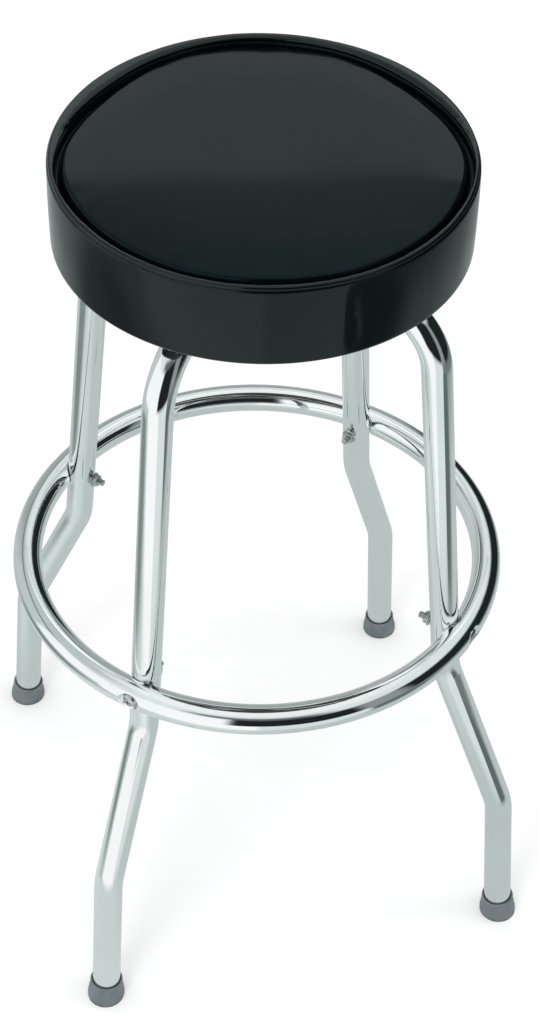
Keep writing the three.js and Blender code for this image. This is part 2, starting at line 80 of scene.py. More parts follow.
# Swivel
plate_side = 178 * mm
plate_corner_round = 12 * mm
plate_thickness = 3 * mm
plate_edge_round = 0.5 * mm
kingpin_radius, kingpin_round = 6 * mm, 0.8 * mm
ball_radius = 3.175 * mm
ball_circle = 39 * mm
ball_count = 10

# Fasteners
bolt_radius = 3 * mm
thread_pitch, thread_cut = 1 * mm, 0.28 * mm
thread_end, thread_chamfer = 0.4 * mm, 0.5 * mm
hole_clearance = 0.5 * mm
close_fit = 0.02 * mm
flange_radius, flange_thickness, flange_round = 7 * mm, 1.2 * mm, 0.4 * mm
hex_radius, hex_chamfer = 5.8 * mm, 0.7 * mm
hex_head_height = 4 * mm
weld_nut_height, weld_nut_chamfer = 3.8 * mm, 0.5 * mm
ring_nut_height = 5 * mm
pan_head_radius, pan_head_height = 6 * mm, 3.1 * mm
ring_head_radius, ring_head_height = 6.4 * mm, 3.4 * mm
cross_width, cross_depth = 1.3 * mm, 1.7 * mm
tee_nut_flange_radius, tee_nut_flange_thickness = 9 * mm, 1.2 * mm
tee_nut_barrel_radius = 4 * mm
seat_screw_circle = 111.88 * mm
leg_bolt_circles = (99.08 * mm, 61.08 * mm)
staple_count = 28
staple_wire, staple_width, staple_crown = 0.55 * mm, 10 * mm, 0.5 * mm
staple_stand, staple_bite = 1.35 * mm, 4 * mm  # below the seat's underside, and into the board

# Seat
vinyl_thickness = 1.2 * mm
rim_radius = 166.6 * mm  # the outer edge of the bead
rim_lean = 2.8 * mm  # how far the rim stands below its middle height in front, and above it behind
rim_turn = math.radians(14)  # how far the rim's lean is turned from straight behind
crown_radius = 156.8 * mm  # where the crown's curve would come down to its base
crown_rise = 8.3 * mm
crown_power = 2.6
panel_edge = 158.4 * mm  # the outermost part of the crown's rounded edge
panel_edge_round = 4.2 * mm
groove_middle = 160 * mm
groove_round = 0.9 * mm
groove_depth = 8.6 * mm  # below the middle of the bead
groove_side = ((0.4, -5.0), (0.9, -2.4), (2.2, -1.6))  # mm outwards, and up from the bead's middle
edge_width = 4 * mm  # of the panel's edge that the stitches draw in whole
pull_width = 48 * mm  # over which their pull fades towards the middle
pucker_start, pucker_full = 26 * mm, 6 * mm  # inside the panel's edge
pucker_lowest = 3 * mm  # above the groove's floor
panel_travel, band_travel = 0.4 * mm, 0.5 * mm  # how far the cloth may settle
bead_half_width_in_front = 2.4 * mm
bead_half_height_in_front, bead_half_height_gain = 2.3 * mm, 0.9 * mm
bead_drop = 1.4 * mm  # how much lower the bead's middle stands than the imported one's
crease_drop = 0.9 * mm  # of the band's top below the bead's middle
flange_drop = 2.7 * mm  # of the band's sewn edge below its top
band_overhang = 0.9 * mm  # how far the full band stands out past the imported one
band_bulge = 0.5 * mm
band_corner_round = 2.6 * mm
band_top_round = 1.9 * mm
wrinkle_bearing = math.radians(-83.5)
wrinkle_height, wrinkle_width = 0.45 * mm, 2.2 * mm
hollow_depth, hollow_width, hollow_offset = 0.35 * mm, 3 * mm, 4.5 * mm  # of the hollow beside the wrinkle
lean_start = 15 * mm  # above the seat's underside, where the wall begins to follow the rim's lean
hem_width = 20 * mm
foam_shoulder_drop = 1.5 * mm
foam_hollow = 0.25 * mm
gap = 0.3 * mm


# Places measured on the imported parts
def low(node):
    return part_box(node)[0]


def high(node):
    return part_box(node)[1]


lower_plate_bottom = low("swivel_bottom_plate").z
upper_plate_bottom = low("swivel_top_plate").z
ball_height = (low("swivel_ball_01").z + high("swivel_ball_01").z) / 2
seat_underside = low("seat_side_band").z
bead_height = (low("seat_bead").z + high("seat_bead").z) / 2 - bead_drop
band_edge_radius = high("seat_side_band").x + band_overhang - band_bulge
crown_base = high("seat_top_panel").z - crown_rise
groove_floor = bead_height - groove_depth
crease_height = bead_height - crease_drop
board_bottom = low("seat_board").z
ply_thickness, glue_line = 2.4 * mm, (1.0 * mm, 1.4 * mm)


def put_in_scene(name, data):
    thing = bpy.data.objects.new(name, data)
    scene.collection.objects.link(thing)
    return thing


def polar(radius, angle, height=0.0):
    """The point at a radius and an angle from the stool's axis, at a height."""
    return Vector((radius * math.cos(angle), radius * math.sin(angle), height))


def radius_of(point):
    return math.hypot(point.x, point.y)


def bearing_of(point):
    return math.atan2(point.y, point.x)


# Camera at the photograph's place
photo_height_px = 1024
focal_length_px = 2287.0
sensor_long_side = 36.0
camera_distance = 2036.35 * mm
camera_elevation = math.radians(43.531)
camera_azimuth = math.radians(-16.083)
camera_roll = math.radians(1.263)
aim = Vector((0, 0, 376 * mm))
aim_right, aim_up = 10.37 * mm, 12.62 * mm


def place_camera():
    back = Vector((
        math.sin(camera_azimuth) * math.cos(camera_elevation),
        -math.cos(camera_azimuth) * math.cos(camera_elevation),
        math.sin(camera_elevation),
    ))
    right = (-back).cross(Vector((0, 0, 1))).normalized()
    up = right.cross(-back)
    rolled_right = right * math.cos(camera_roll) + up * math.sin(camera_roll)
    rolled_up = up * math.cos(camera_roll) - right * math.sin(camera_roll)
    camera = put_in_scene("camera", bpy.data.cameras.new("camera"))
    camera.data.lens = focal_length_px * sensor_long_side / photo_height_px
    camera.data.sensor_width = sensor_long_side
    turn = Matrix((rolled_right, rolled_up, back)).transposed().to_4x4()
    place = aim + right * aim_right + up * aim_up + back * camera_distance
    camera.matrix_world = Matrix.Translation(place) @ turn
    scene.camera = camera


# Shader building blocks


def set_input(tree, socket, value):
    """Links a socket to another node's output, or gives it a value; a colour may come without its alpha."""
    if isinstance(value, bpy.types.NodeSocket):
        tree.links.new(value, socket)
    elif socket.type == "RGBA":
        socket.default_value = (*value[:3], 1)
    else:
        socket.default_value = value


def add_node(tree, kind, inputs=None, **settings):
    """A node with its settings and inputs; an input is a value or another node's output."""
    node = tree.nodes.new(kind)
    for name, value in settings.items():
        setattr(node, name, value)
    for name, value in (inputs or {}).items():
        set_input(tree, node.inputs[name], value)
    return node


def math_node(tree, operation, a, b=0.0, clamp=False):
    return add_node(tree, "ShaderNodeMath", {0: a, 1: b}, operation=operation, use_clamp=clamp).outputs[0]


def times(tree, a, b, clamp=False):
    return math_node(tree, "MULTIPLY", a, b, clamp)


def summed(tree, start, *terms):
    """A start and shares of other values; each term is a value and its share."""
    for value, share in terms:
        start = math_node(tree, "ADD", start, times(tree, value, share))
    return start


def vector_math(tree, operation, a, b=(0, 0, 0)):
    """A vector, or the number where the operation makes one."""
    node = add_node(tree, "ShaderNodeVectorMath", {0: a, 1: b}, operation=operation)
    return node.outputs["Value" if operation in ("LENGTH", "DISTANCE", "DOT_PRODUCT") else "Vector"]


def z_of(tree, vector):
    return add_node(tree, "ShaderNodeSeparateXYZ", {"Vector": vector}).outputs["Z"]


def surface_value(tree, name):
    """The position, normal or back side of the surface that is shaded."""
    return add_node(tree, "ShaderNodeNewGeometry").outputs[name]


def spread(tree, value, from_low, from_high, to_low=0.0, to_high=1.0):
    """A value mapped from one range to another with a smooth run, held at its ends."""
    return add_node(tree, "ShaderNodeMapRange", {
        "Value": value, "From Min": from_low, "From Max": from_high, "To Min": to_low, "To Max": to_high,
    }, interpolation_type="SMOOTHSTEP").outputs["Result"]


def blended(tree, factor, first, second):
    """From the first colour to the second as the factor goes from 0 to 1."""
    node = add_node(tree, "ShaderNodeMix", {"Factor": factor}, data_type="RGBA")
    for name, colour in (("A", first), ("B", second)):
        set_input(tree, next(s for s in node.inputs if s.name == name and s.type == "RGBA"), colour)
    return next(s for s in node.outputs if s.type == "RGBA")


def noise(tree, vector, scale, detail=3.0, roughness=0.55, distortion=0.0):
    return add_node(tree, "ShaderNodeTexNoise", {
        "Vector": vector, "Scale": scale, "Detail": detail, "Roughness": roughness, "Distortion": distortion,
    }).outputs["Fac"]


def stretched(tree, vector, scale, turn=(0, 0, 0)):
    mapping = add_node(tree, "ShaderNodeMapping", {"Vector": vector, "Scale": scale, "Rotation": turn})
    return mapping.outputs["Vector"]


def object_place(tree):
    return add_node(tree, "ShaderNodeTexCoord").outputs["Object"]


def new_group(name, inputs, outputs):
    """A shader node group with named inputs, each with its first value, and named outputs."""
    group = bpy.data.node_groups.new(name, "ShaderNodeTree")
    for label, (kind, value) in inputs.items():
        group.interface.new_socket(label, in_out="INPUT", socket_type=kind).default_value = value
    for label, kind in outputs.items():
        group.interface.new_socket(label, in_out="OUTPUT", socket_type=kind)
    return group, add_node(group, "NodeGroupInput").outputs, add_node(group, "NodeGroupOutput").inputs


def use_group(tree, group, **inputs):
    """A group placed in a tree, with its inputs set by their names."""
    node = tree.nodes.new("ShaderNodeGroup")
    node.node_tree = group
    for name, value in inputs.items():
        set_input(tree, node.inputs[name.replace("_", " ")], value)
    return node.outputs


FLOAT, COLOUR, VECTOR, WHOLE = "NodeSocketFloat", "NodeSocketColor", "NodeSocketVector", "NodeSocketInt"


def make_mottle():
    """Two tones of one finish, in soft patches."""
    group, given, out = new_group("mottle", {
        "Tone A": (COLOUR, (1, 1, 1, 1)), "Tone B": (COLOUR, (0.8, 0.8, 0.8, 1)), "Scale": (FLOAT, 20.0),
    }, {"Color": COLOUR, "Patches": FLOAT})
    patches = spread(group, noise(group, object_place(group), given["Scale"], 4.0, 0.6, 0.4), 0.3, 0.7)
    group.links.new(blended(group, patches, given["Tone A"], given["Tone B"]), out["Color"])
    group.links.new(patches, out["Patches"])
    return group


def make_handling():
    """Where hands, shoes and cloths have left marks: cloudy smudges, and dust that lies on upward faces."""
    group, given, out = new_group("handling", {
        "Smudge Scale": (FLOAT, 14.0), "Dust Amount": (FLOAT, 0.3),
    }, {"Smudge": FLOAT, "Dust": FLOAT})
    place = object_place(group)
    smears = noise(group, stretched(group, place, (1, 1, 0.35)), given["Smudge Scale"], 5.0, 0.65, 1.2)
    group.links.new(spread(group, smears, 0.48, 0.72), out["Smudge"])
    lying = spread(group, z_of(group, surface_value(group, "Normal")), 0.35, 0.95)
    specks = spread(group, noise(group, place, 900.0, 2.0, 0.7), 0.6, 0.78)
    film = spread(group, noise(group, place, 35.0, 4.0, 0.6), 0.4, 0.7, 0.15, 0.6)
    settled = times(group, math_node(group, "MAXIMUM", specks, film), lying)
    group.links.new(times(group, settled, given["Dust Amount"], clamp=True), out["Dust"])
    return group


def make_scratches():
    """Fine hairlines in two directions, broken into short runs."""
    group, given, out = new_group("scratches", {
        "Scale": (FLOAT, 60.0), "Amount": (FLOAT, 0.5),
    }, {"Lines": FLOAT})
    place = object_place(group)
    runs = []
    for turn, stretch in (((0.3, 0.2, 0.4), (14, 1, 1)), ((1.1, 0.5, 2.1), (1, 18, 1.5))):
        fibres = noise(group, stretched(group, place, stretch, turn), given["Scale"], 2.0, 0.5)
        off_middle = math_node(group, "ABSOLUTE", math_node(group, "SUBTRACT", fibres, 0.5))
        broken = spread(group, noise(group, place, 45.0 + 20 * turn[0], 2.0), 0.52, 0.62)
        runs.append(times(group, spread(group, off_middle, 0.0, 0.012, 1.0, 0.0), broken))
    both = math_node(group, "MAXIMUM", *runs)
    group.links.new(times(group, both, given["Amount"], clamp=True), out["Lines"])
    return group


def make_pebble():
    """Embossed or moulded grain: rounded pebbles with creases between them."""
    group, given, out = new_group("pebble_grain", {
        "Scale": (FLOAT, 900.0), "Crease": (FLOAT, 0.5),
    }, {"Height": FLOAT})
    place = object_place(group)
    wobble = add_node(group, "ShaderNodeTexNoise", {"Vector": place, "Scale": 260.0, "Detail": 2.0})
    shift = vector_math(group, "MULTIPLY", wobble.outputs["Color"], (0.0012, 0.0012, 0.0012))
    moved = vector_math(group, "ADD", place, shift)
    cells = {"Vector": moved, "Scale": given["Scale"]}
    apart = add_node(group, "ShaderNodeTexVoronoi", cells, feature="SMOOTH_F1").outputs["Distance"]
    pebbles = math_node(group, "SUBTRACT", 1.0, times(group, apart, given["Crease"]))
    group.links.new(summed(group, pebbles, (noise(group, place, 2400.0, 2.0), 0.25)), out["Height"])
    return group


mottle = make_mottle()
handling = make_handling()
scratches = make_scratches()
pebble = make_pebble()


def new_material(name, **constants):
    """A material with its Principled shader; the constants are the same all over the surface."""
    material = bpy.data.materials.new(name)
    material.use_nodes = True
    tree = material.node_tree
    shader = tree.nodes["Principled BSDF"]
    for label, value in constants.items():
        shader.inputs[label.replace("_", " ")].default_value = value
    return material, tree, shader


def give_surface(tree, shader, colour, rough, height, strength, distance):
    """Gives a shader its colour, its roughness and a relief of a strength and a depth."""
    relief = add_node(tree, "ShaderNodeBump", {"Height": height, "Strength": strength, "Distance": distance})
    set_input(tree, shader.inputs["Base Color"], colour)
    set_input(tree, shader.inputs["Roughness"], rough)
    set_input(tree, shader.inputs["Normal"], relief.outputs["Normal"])


def chromed_tube():
    material, tree, shader = new_material("chromed_tube", Metallic=1.0)
    tones = use_group(tree, mottle, Tone_A=(0.93, 0.955, 0.95), Tone_B=(0.89, 0.92, 0.915), Scale=9.0)
    marks = use_group(tree, handling, Smudge_Scale=16.0, Dust_Amount=0.25)
    lines = use_group(tree, scratches, Scale=55.0, Amount=0.6)["Lines"]
    dulled = blended(tree, marks["Dust"], tones["Color"], (0.55, 0.57, 0.56))
    rough = summed(tree, 0.03, (marks["Smudge"], 0.04), (lines, 0.12), (marks["Dust"], 0.3))
    peel = times(tree, noise(tree, object_place(tree), 160.0, 2.0), 0.3)
    give_surface(tree, shader, dulled, rough, summed(tree, peel, (lines, -0.4)), 0.12, 0.05 * mm)
    return material


def seat_vinyl(name, index, rough_from, tint):
    material, tree, shader = new_material(name, IOR=index, Specular_Tint=(*tint, 1))
    tone_a, tone_b = (0.0012, 0.0020, 0.0023), (0.0022, 0.0034, 0.0038)
    tones = use_group(tree, mottle, Tone_A=tone_a, Tone_B=tone_b, Scale=6.0)
    marks = use_group(tree, handling, Smudge_Scale=9.0, Dust_Amount=0.03)
    dusty = blended(tree, marks["Dust"], tones["Color"], (0.06, 0.07, 0.07))
    rough = summed(tree, rough_from, (marks["Smudge"], 0.04), (marks["Dust"], 0.2))
    grain = use_group(tree, pebble, Scale=1100.0, Crease=0.9)["Height"]
    give_surface(tree, shader, dusty, rough, grain, 0.05, 0.1 * mm)
    return material


def foot_rubber():
    material, tree, shader = new_material("foot_rubber", IOR=1.5)
    tones = use_group(tree, mottle, Tone_A=(0.135, 0.165, 0.175), Tone_B=(0.185, 0.215, 0.225), Scale=70.0)
    marks = use_group(tree, handling, Smudge_Scale=60.0, Dust_Amount=0.5)
    place = object_place(tree)
    tread = spread(tree, z_of(tree, place), 0.0, 5 * mm, 1.0, 0.0)
    scuffed = times(tree, tread, spread(tree, noise(tree, place, 220.0, 4.0), 0.4, 0.65, 0.0, 0.8))
    worn = blended(tree, scuffed, tones["Color"], (0.06, 0.07, 0.07))
    dusty = blended(tree, marks["Dust"], worn, (0.4, 0.41, 0.4))
    grain = use_group(tree, pebble, Scale=700.0, Crease=0.5)["Height"]
    rough = spread(tree, marks["Smudge"], 0.0, 1.0, 0.48, 0.7)
    give_surface(tree, shader, dusty, rough, grain, 0.3, 0.15 * mm)
    return material


def seat_plywood():
    material, tree, shader = new_material("seat_plywood")
    place = object_place(tree)
    fibres = noise(tree, stretched(tree, place, (3, 60, 40)), 14.0, 5.0, 0.65, 0.6)
    figure = noise(tree, stretched(tree, place, (1, 9, 9)), 7.0, 3.0, 0.5, 1.5)
    veneer = blended(tree, spread(tree, figure, 0.3, 0.7), (0.13, 0.105, 0.078), (0.095, 0.074, 0.054))
    veneer = blended(tree, spread(tree, fibres, 0.55, 0.72, 0.0, 0.55), veneer, (0.055, 0.042, 0.03))
    plies = math_node(tree, "PINGPONG", z_of(tree, place), ply_thickness)
    cross_ply = spread(tree, plies, *glue_line, 0.0, 0.6)
    facing_up = math_node(tree, "ABSOLUTE", z_of(tree, surface_value(tree, "Normal")))
    on_edge = spread(tree, facing_up, 0.3, 0.8, 1.0, 0.0)
    edge = blended(tree, times(tree, cross_ply, on_edge), veneer, (0.045, 0.034, 0.024))
    give_surface(tree, shader, edge, spread(tree, fibres, 0.3, 0.7, 0.55, 0.75), fibres, 0.35, 0.2 * mm)
    return material


def painted_plate():
    material, tree, shader = new_material("painted_plate", Coat_Roughness=0.2)
    marks = use_group(tree, handling, Smudge_Scale=20.0, Dust_Amount=0.4)
    lines = use_group(tree, scratches, Scale=45.0, Amount=0.8)["Lines"]
    tones = use_group(tree, mottle, Tone_A=(0.018, 0.02, 0.022), Tone_B=(0.028, 0.03, 0.033), Scale=25.0)
    scratched = blended(tree, lines, tones["Color"], (0.2, 0.2, 0.2))
    dusty = blended(tree, marks["Dust"], scratched, (0.25, 0.24, 0.23))
    peel = math_node(tree, "SUBTRACT", noise(tree, object_place(tree), 420.0, 2.0), lines)
    rough = spread(tree, marks["Smudge"], 0.0, 1.0, 0.32, 0.5)
    give_surface(tree, shader, dusty, rough, peel, 0.15, 0.1 * mm)
    return material


def plated_steel(name, tone_a, tone_b, roughness, scratched):
    material, tree, shader = new_material(name, Metallic=1.0)
    tones = use_group(tree, mottle, Tone_A=tone_a, Tone_B=tone_b, Scale=160.0)
    lines = use_group(tree, scratches, Scale=160.0, Amount=scratched)["Lines"]
    marks = use_group(tree, handling, Smudge_Scale=90.0, Dust_Amount=0.3)
    dusty = blended(tree, marks["Dust"], tones["Color"], (0.3, 0.29, 0.27))
    rough = summed(tree, roughness, (tones["Patches"], 0.12), (lines, 0.15))
    peel = math_node(tree, "SUBTRACT", noise(tree, object_place(tree), 900.0), lines)
    give_surface(tree, shader, dusty, rough, peel, 0.12, 0.04 * mm)
    return material


def seat_padding():
    material, tree, shader = new_material("seat_padding", IOR=1.3)
    tones = use_group(tree, mottle, Tone_A=(0.80, 0.72, 0.50), Tone_B=(0.70, 0.60, 0.38), Scale=18.0)
    cells = add_node(tree, "ShaderNodeTexVoronoi", {"Vector": object_place(tree), "Scale": 1300.0})
    give_surface(tree, shader, tones["Color"], 0.95, cells.outputs["Distance"], 0.8, 0.5 * mm)
    return material


chrome = chromed_tube()
vinyl = seat_vinyl("seat_vinyl", 1.38, 0.12, (0.72, 1.0, 1.0))
top_vinyl = seat_vinyl("seat_vinyl_worn", 1.27, 0.14, (0.4, 0.84, 0.9))
bead_vinyl = seat_vinyl("seat_vinyl_bead", 1.45, 0.12, (0.76, 1.0, 0.93))
rubber = foot_rubber()
plywood = seat_plywood()
plate_paint = painted_plate()
foam_padding = seat_padding()
zinc = plated_steel("zinc_plated_steel", (0.62, 0.64, 0.66), (0.50, 0.51, 0.50), 0.22, 0.5)
bearing_steel = plated_steel("bearing_steel", (0.66, 0.67, 0.68), (0.6, 0.61, 0.62), 0.08, 0.3)
brass = plated_steel("cage_brass", (0.66, 0.50, 0.22), (0.52, 0.38, 0.15), 0.3, 0.7)


# Mesh building blocks


def add_piece(name, points, faces, material, crease=40):
    """A piece from points and faces, smooth but for edges sharper than the crease angle in degrees."""
    mesh = bpy.data.meshes.new(name)
    mesh.from_pydata([tuple(point) for point in points], [], faces)
    shell = bmesh.new()
    shell.from_mesh(mesh)
    bmesh.ops.remove_doubles(shell, verts=shell.verts, dist=0.001 * mm)
    bmesh.ops.recalc_face_normals(shell, faces=shell.faces)
    if sum(face.calc_center_median().dot(face.normal) * face.calc_area() for face in shell.faces) < 0:
        bmesh.ops.reverse_faces(shell, faces=shell.faces)
    shell.to_mesh(mesh)
    shell.free()
    mesh.materials.append(material)
    smooth(mesh, crease)
    return put_in_scene(name, mesh)


def smooth(mesh, crease):
    mesh.shade_smooth()
    mesh.set_sharp_from_angle(angle=math.radians(crease))


def skinned(rings, closed=False):
    """Points and faces of a skin over rings, where one point makes a pole; closed joins last to first."""
    points = [point for ring in rings for point in ring]
    starts = [sum(len(ring) for ring in rings[:i]) for i in range(len(rings))]
    spans = [range(start, start + len(ring)) for start, ring in zip(starts, rings)]
    pairs = list(zip(spans, spans[1:]))
    if closed:
        pairs.append((spans[-1], spans[0]))
    faces = []
    for first, second in pairs:
        count = max(len(first), len(second))
        for i in range(count):
            j = (i + 1) % count
            corners = [first[k % len(first)] for k in (i, j)] + [second[k % len(second)] for k in (j, i)]
            corners = list(dict.fromkeys(corners))
            if len(corners) > 2:
                faces.append(corners)
    return points, faces


def turned(profile, segments, closed=False):
    """A profile of (radius, height) turned about Z."""
    rings = []
    for radius, height in profile:
        count = segments if radius > 0 else 1
        rings.append([polar(radius, math.tau * i / segments, height) for i in range(count)])
    return skinned(rings, closed)


def arc(centre, radius, start, end, steps):
    """Points round a centre, from one angle to another in degrees."""
    angles = [math.radians(start + (end - start) * i / steps) for i in range(steps + 1)]
    return [(centre[0] + radius * math.cos(a), centre[1] + radius * math.sin(a)) for a in angles]


def rounded(profile, radius, steps=3):
    """A closed or axis-to-axis profile with its corners rounded off, apart from those on the axis."""
    result = []
    for i, corner in enumerate(profile):
        before, after = Vector(profile[i - 1]), Vector(profile[(i + 1) % len(profile)])
        here = Vector(corner)
        if here.x <= 0:
            result.append(corner)
            continue
        reach = min(radius, (before - here).length / 2.1, (after - here).length / 2.1)
        start, end = here + (before - here).normalized() * reach, here + (after - here).normalized() * reach
        for k in range(steps + 1):
            t = k / steps
            point = start * (1 - t) ** 2 + here * (2 * t * (1 - t)) + end * t ** 2
            result.append((point.x, point.y))
    return result


def shape_of(mesh):
    return [vertex.co.copy() for vertex in mesh.vertices], [list(face.vertices) for face in mesh.polygons]


def merged(*shapes):
    """Points and faces of several shells together."""
    points, faces = [], []
    for shape_points, shape_faces in shapes:
        faces += [[corner + len(points) for corner in face] for face in shape_faces]
        points += shape_points
    return points, faces


def bar(middle, half_x, half_y, low_end, high_end, high_share=1.0):
    """A square bar that stands on Z about a middle; its high end may be a share of its low one."""
    points = []
    for z, share in ((low_end, 1.0), (high_end, high_share)):
        for x, y in ((-half_x, -half_y), (half_x, -half_y), (half_x, half_y), (-half_x, half_y)):
            points.append(Vector((middle[0] + x * share, middle[1] + y * share, z)))
    return points, [(3, 2, 1, 0), (4, 5, 6, 7), (0, 1, 5, 4), (1, 2, 6, 5), (2, 3, 7, 6), (3, 0, 4, 7)]


def plain_mesh(piece):
    """The piece with its modifiers made real."""
    bpy.context.view_layer.update()
    evaluated = piece.evaluated_get(bpy.context.evaluated_depsgraph_get())
    mesh = bpy.data.meshes.new_from_object(evaluated)
    piece.modifiers.clear()
    piece.data = mesh
    return piece


def thicken(sheet, thickness, crease=70, levels=0):
    """Subdivides a sheet and gives it its thickness on the inside."""
    if levels:
        finer = sheet.modifiers.new("finer", "SUBSURF")
        finer.levels = levels
        finer.render_levels = levels
    wall = sheet.modifiers.new("thickness", "SOLIDIFY")
    wall.thickness = thickness
    wall.offset = -1
    plain_mesh(sheet)
    smooth(sheet.data, crease)


def dress(piece, body, slot, *nodes):
    """The piece rides on a body and stands for these nodes; its slot is not used."""
    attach(piece, body)
    if nodes:
        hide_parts(*nodes)
    return piece


def at_corners(kind):
    return [f"{kind}_{corner}" for corner in leg_bearings]


# Geometry Nodes trees


def new_geometry_tree(name, inputs):
    tree = bpy.data.node_groups.new(name, "GeometryNodeTree")
    tree.interface.new_socket("Geometry", in_out="INPUT", socket_type="NodeSocketGeometry")
    for label, kind in inputs.items():
        tree.interface.new_socket(label, in_out="INPUT", socket_type=kind)
    tree.interface.new_socket("Geometry", in_out="OUTPUT", socket_type="NodeSocketGeometry")
    return tree, add_node(tree, "NodeGroupInput").outputs, add_node(tree, "NodeGroupOutput").inputs


def run_tree(piece, tree, **inputs):
    """Runs a Geometry Nodes tree on a piece and keeps its result as a plain mesh."""
    modifier = piece.modifiers.new(tree.name, "NODES")
    modifier.node_group = tree
    for item in tree.interface.items_tree:
        key = item.name.replace(" ", "_").lower()
        if item.in_out == "INPUT" and key in inputs:
            modifier[item.identifier] = inputs[key]
    return plain_mesh(piece)


def make_bent_tube_tree():
    """A path of straight runs bent at each corner and drawn into a round tube."""
    tree, given, out = new_geometry_tree("bent_tube", {
        "Bend Radius": FLOAT, "Bend Steps": WHOLE, "Tube Radius": FLOAT, "Sides": WHOLE,
        "Finish": "NodeSocketMaterial",
    })
    path = add_node(tree, "GeometryNodeMeshToCurve", {"Mesh": given["Geometry"]}).outputs["Curve"]
    bent = add_node(tree, "GeometryNodeFilletCurve", {
        "Curve": path, "Count": given["Bend Steps"], "Radius": given["Bend Radius"], "Limit Radius": True,
    }, mode="POLY").outputs["Curve"]
    section = add_node(tree, "GeometryNodeCurvePrimitiveCircle", {
        "Resolution": given["Sides"], "Radius": given["Tube Radius"],
    }).outputs["Curve"]
    tube = add_node(tree, "GeometryNodeCurveToMesh", {
        "Curve": bent, "Profile Curve": section, "Fill Caps": False,
    }).outputs["Mesh"]
    finish_tree(tree, tube, given, out)
    return tree


def make_copies_tree():
    """Copies of one part set out round the stool's axis, each turned at random about its own axis."""
    tree, given, out = new_geometry_tree("copies_round_axis", {
        "Part": "NodeSocketObject", "Count": WHOLE, "Circle Radius": FLOAT, "Height": FLOAT,
        "First Bearing": FLOAT, "Scatter": FLOAT, "Own Turn": FLOAT, "Seed": WHOLE,
        "Finish": "NodeSocketMaterial",
    })
    points = add_node(tree, "GeometryNodePoints", {"Count": given["Count"]}).outputs[0]
    index = add_node(tree, "GeometryNodeInputIndex").outputs[0]
    step = math_node(tree, "DIVIDE", math.tau, given["Count"])
    even = summed(tree, given["First Bearing"], (index, step))
    jitter = add_node(tree, "FunctionNodeRandomValue", {"Seed": given["Seed"]}, data_type="FLOAT").outputs[1]
    shift = times(tree, math_node(tree, "SUBTRACT", jitter, 0.5), given["Scatter"])
    bearing = math_node(tree, "ADD", even, shift)
    place = add_node(tree, "ShaderNodeCombineXYZ", {
        "X": times(tree, given["Circle Radius"], math_node(tree, "COSINE", bearing)),
        "Y": times(tree, given["Circle Radius"], math_node(tree, "SINE", bearing)),
        "Z": given["Height"],
    }).outputs[0]
    placed = add_node(tree, "GeometryNodeSetPosition", {"Geometry": points, "Position": place}).outputs[0]
    part = add_node(tree, "GeometryNodeObjectInfo", {"Object": given["Part"], "As Instance": True})
    outward = add_node(tree, "ShaderNodeCombineXYZ", {"Z": bearing}).outputs[0]
    set_out = add_node(tree, "GeometryNodeInstanceOnPoints", {
        "Points": placed, "Instance": part.outputs["Geometry"], "Rotation": outward,
    }).outputs[0]
    later_seed = math_node(tree, "ADD", given["Seed"], 1.0)
    spin = add_node(tree, "FunctionNodeRandomValue", {"Seed": later_seed}, data_type="FLOAT").outputs[1]
    own_turn = add_node(tree, "ShaderNodeCombineXYZ", {"Z": times(tree, spin, given["Own Turn"])}).outputs[0]
    spun = add_node(tree, "GeometryNodeRotateInstances", {
        "Instances": set_out, "Rotation": own_turn, "Local Space": True,
    }).outputs[0]
    finish_tree(tree, spun, given, out)
    return tree


def finish_tree(tree, geometry, given, out):
    real = add_node(tree, "GeometryNodeRealizeInstances", {"Geometry": geometry}).outputs[0]
    finished = add_node(tree, "GeometryNodeSetMaterial", {"Geometry": real, "Material": given["Finish"]})
    tree.links.new(finished.outputs[0], out["Geometry"])


bent_tube = make_bent_tube_tree()
copies_round_axis = make_copies_tree()


def copies(name, part, material, count=4, circle=0.0, height=0.0, first=-135.0, scatter=0.0,
           own_turn=0.0, seed=1):
    """One plain mesh of evenly set out copies of a part, which is used up; angles are in degrees."""
    piece = put_in_scene(name, bpy.data.meshes.new(name))
    run_tree(piece, copies_round_axis, part=part, count=count, circle_radius=circle, height=height,
             first_bearing=math.radians(first), scatter=math.radians(scatter),
             own_turn=math.radians(own_turn), seed=seed, finish=material)
    bpy.data.objects.remove(part)
    return piece


def joined(name, pieces):
    """Several plain meshes as one piece with one name."""
    whole = bmesh.new()
    for piece in pieces:
        whole.from_mesh(piece.data)
    mesh = pieces[0].data
    whole.to_mesh(mesh)
    whole.free()
    mesh.name = name
    pieces[0].name = name
    for piece in pieces[1:]:
        bpy.data.objects.remove(piece)
    return pieces[0]


# Legs


def leg_corners():
    """The corners of a leg's axis in the plane y = 0, from the stool's middle to the floor."""
    return [
        Vector((top_run_inner_end, 0, top_run_height)),
        Vector((shoulder_radius, 0, top_run_height)),
        Vector((knee_radius, 0, knee_height)),
        Vector((ankle_radius, 0, ankle_height)),
        Vector((foot_radius, 0, 0)),
    ]


def leg_radius_at(height):
    """How far the leg's straight run between shoulder and knee is from the stool's axis."""
    share = (height - top_run_height) / (knee_height - top_run_height)
    return shoulder_radius + (knee_radius - shoulder_radius) * share


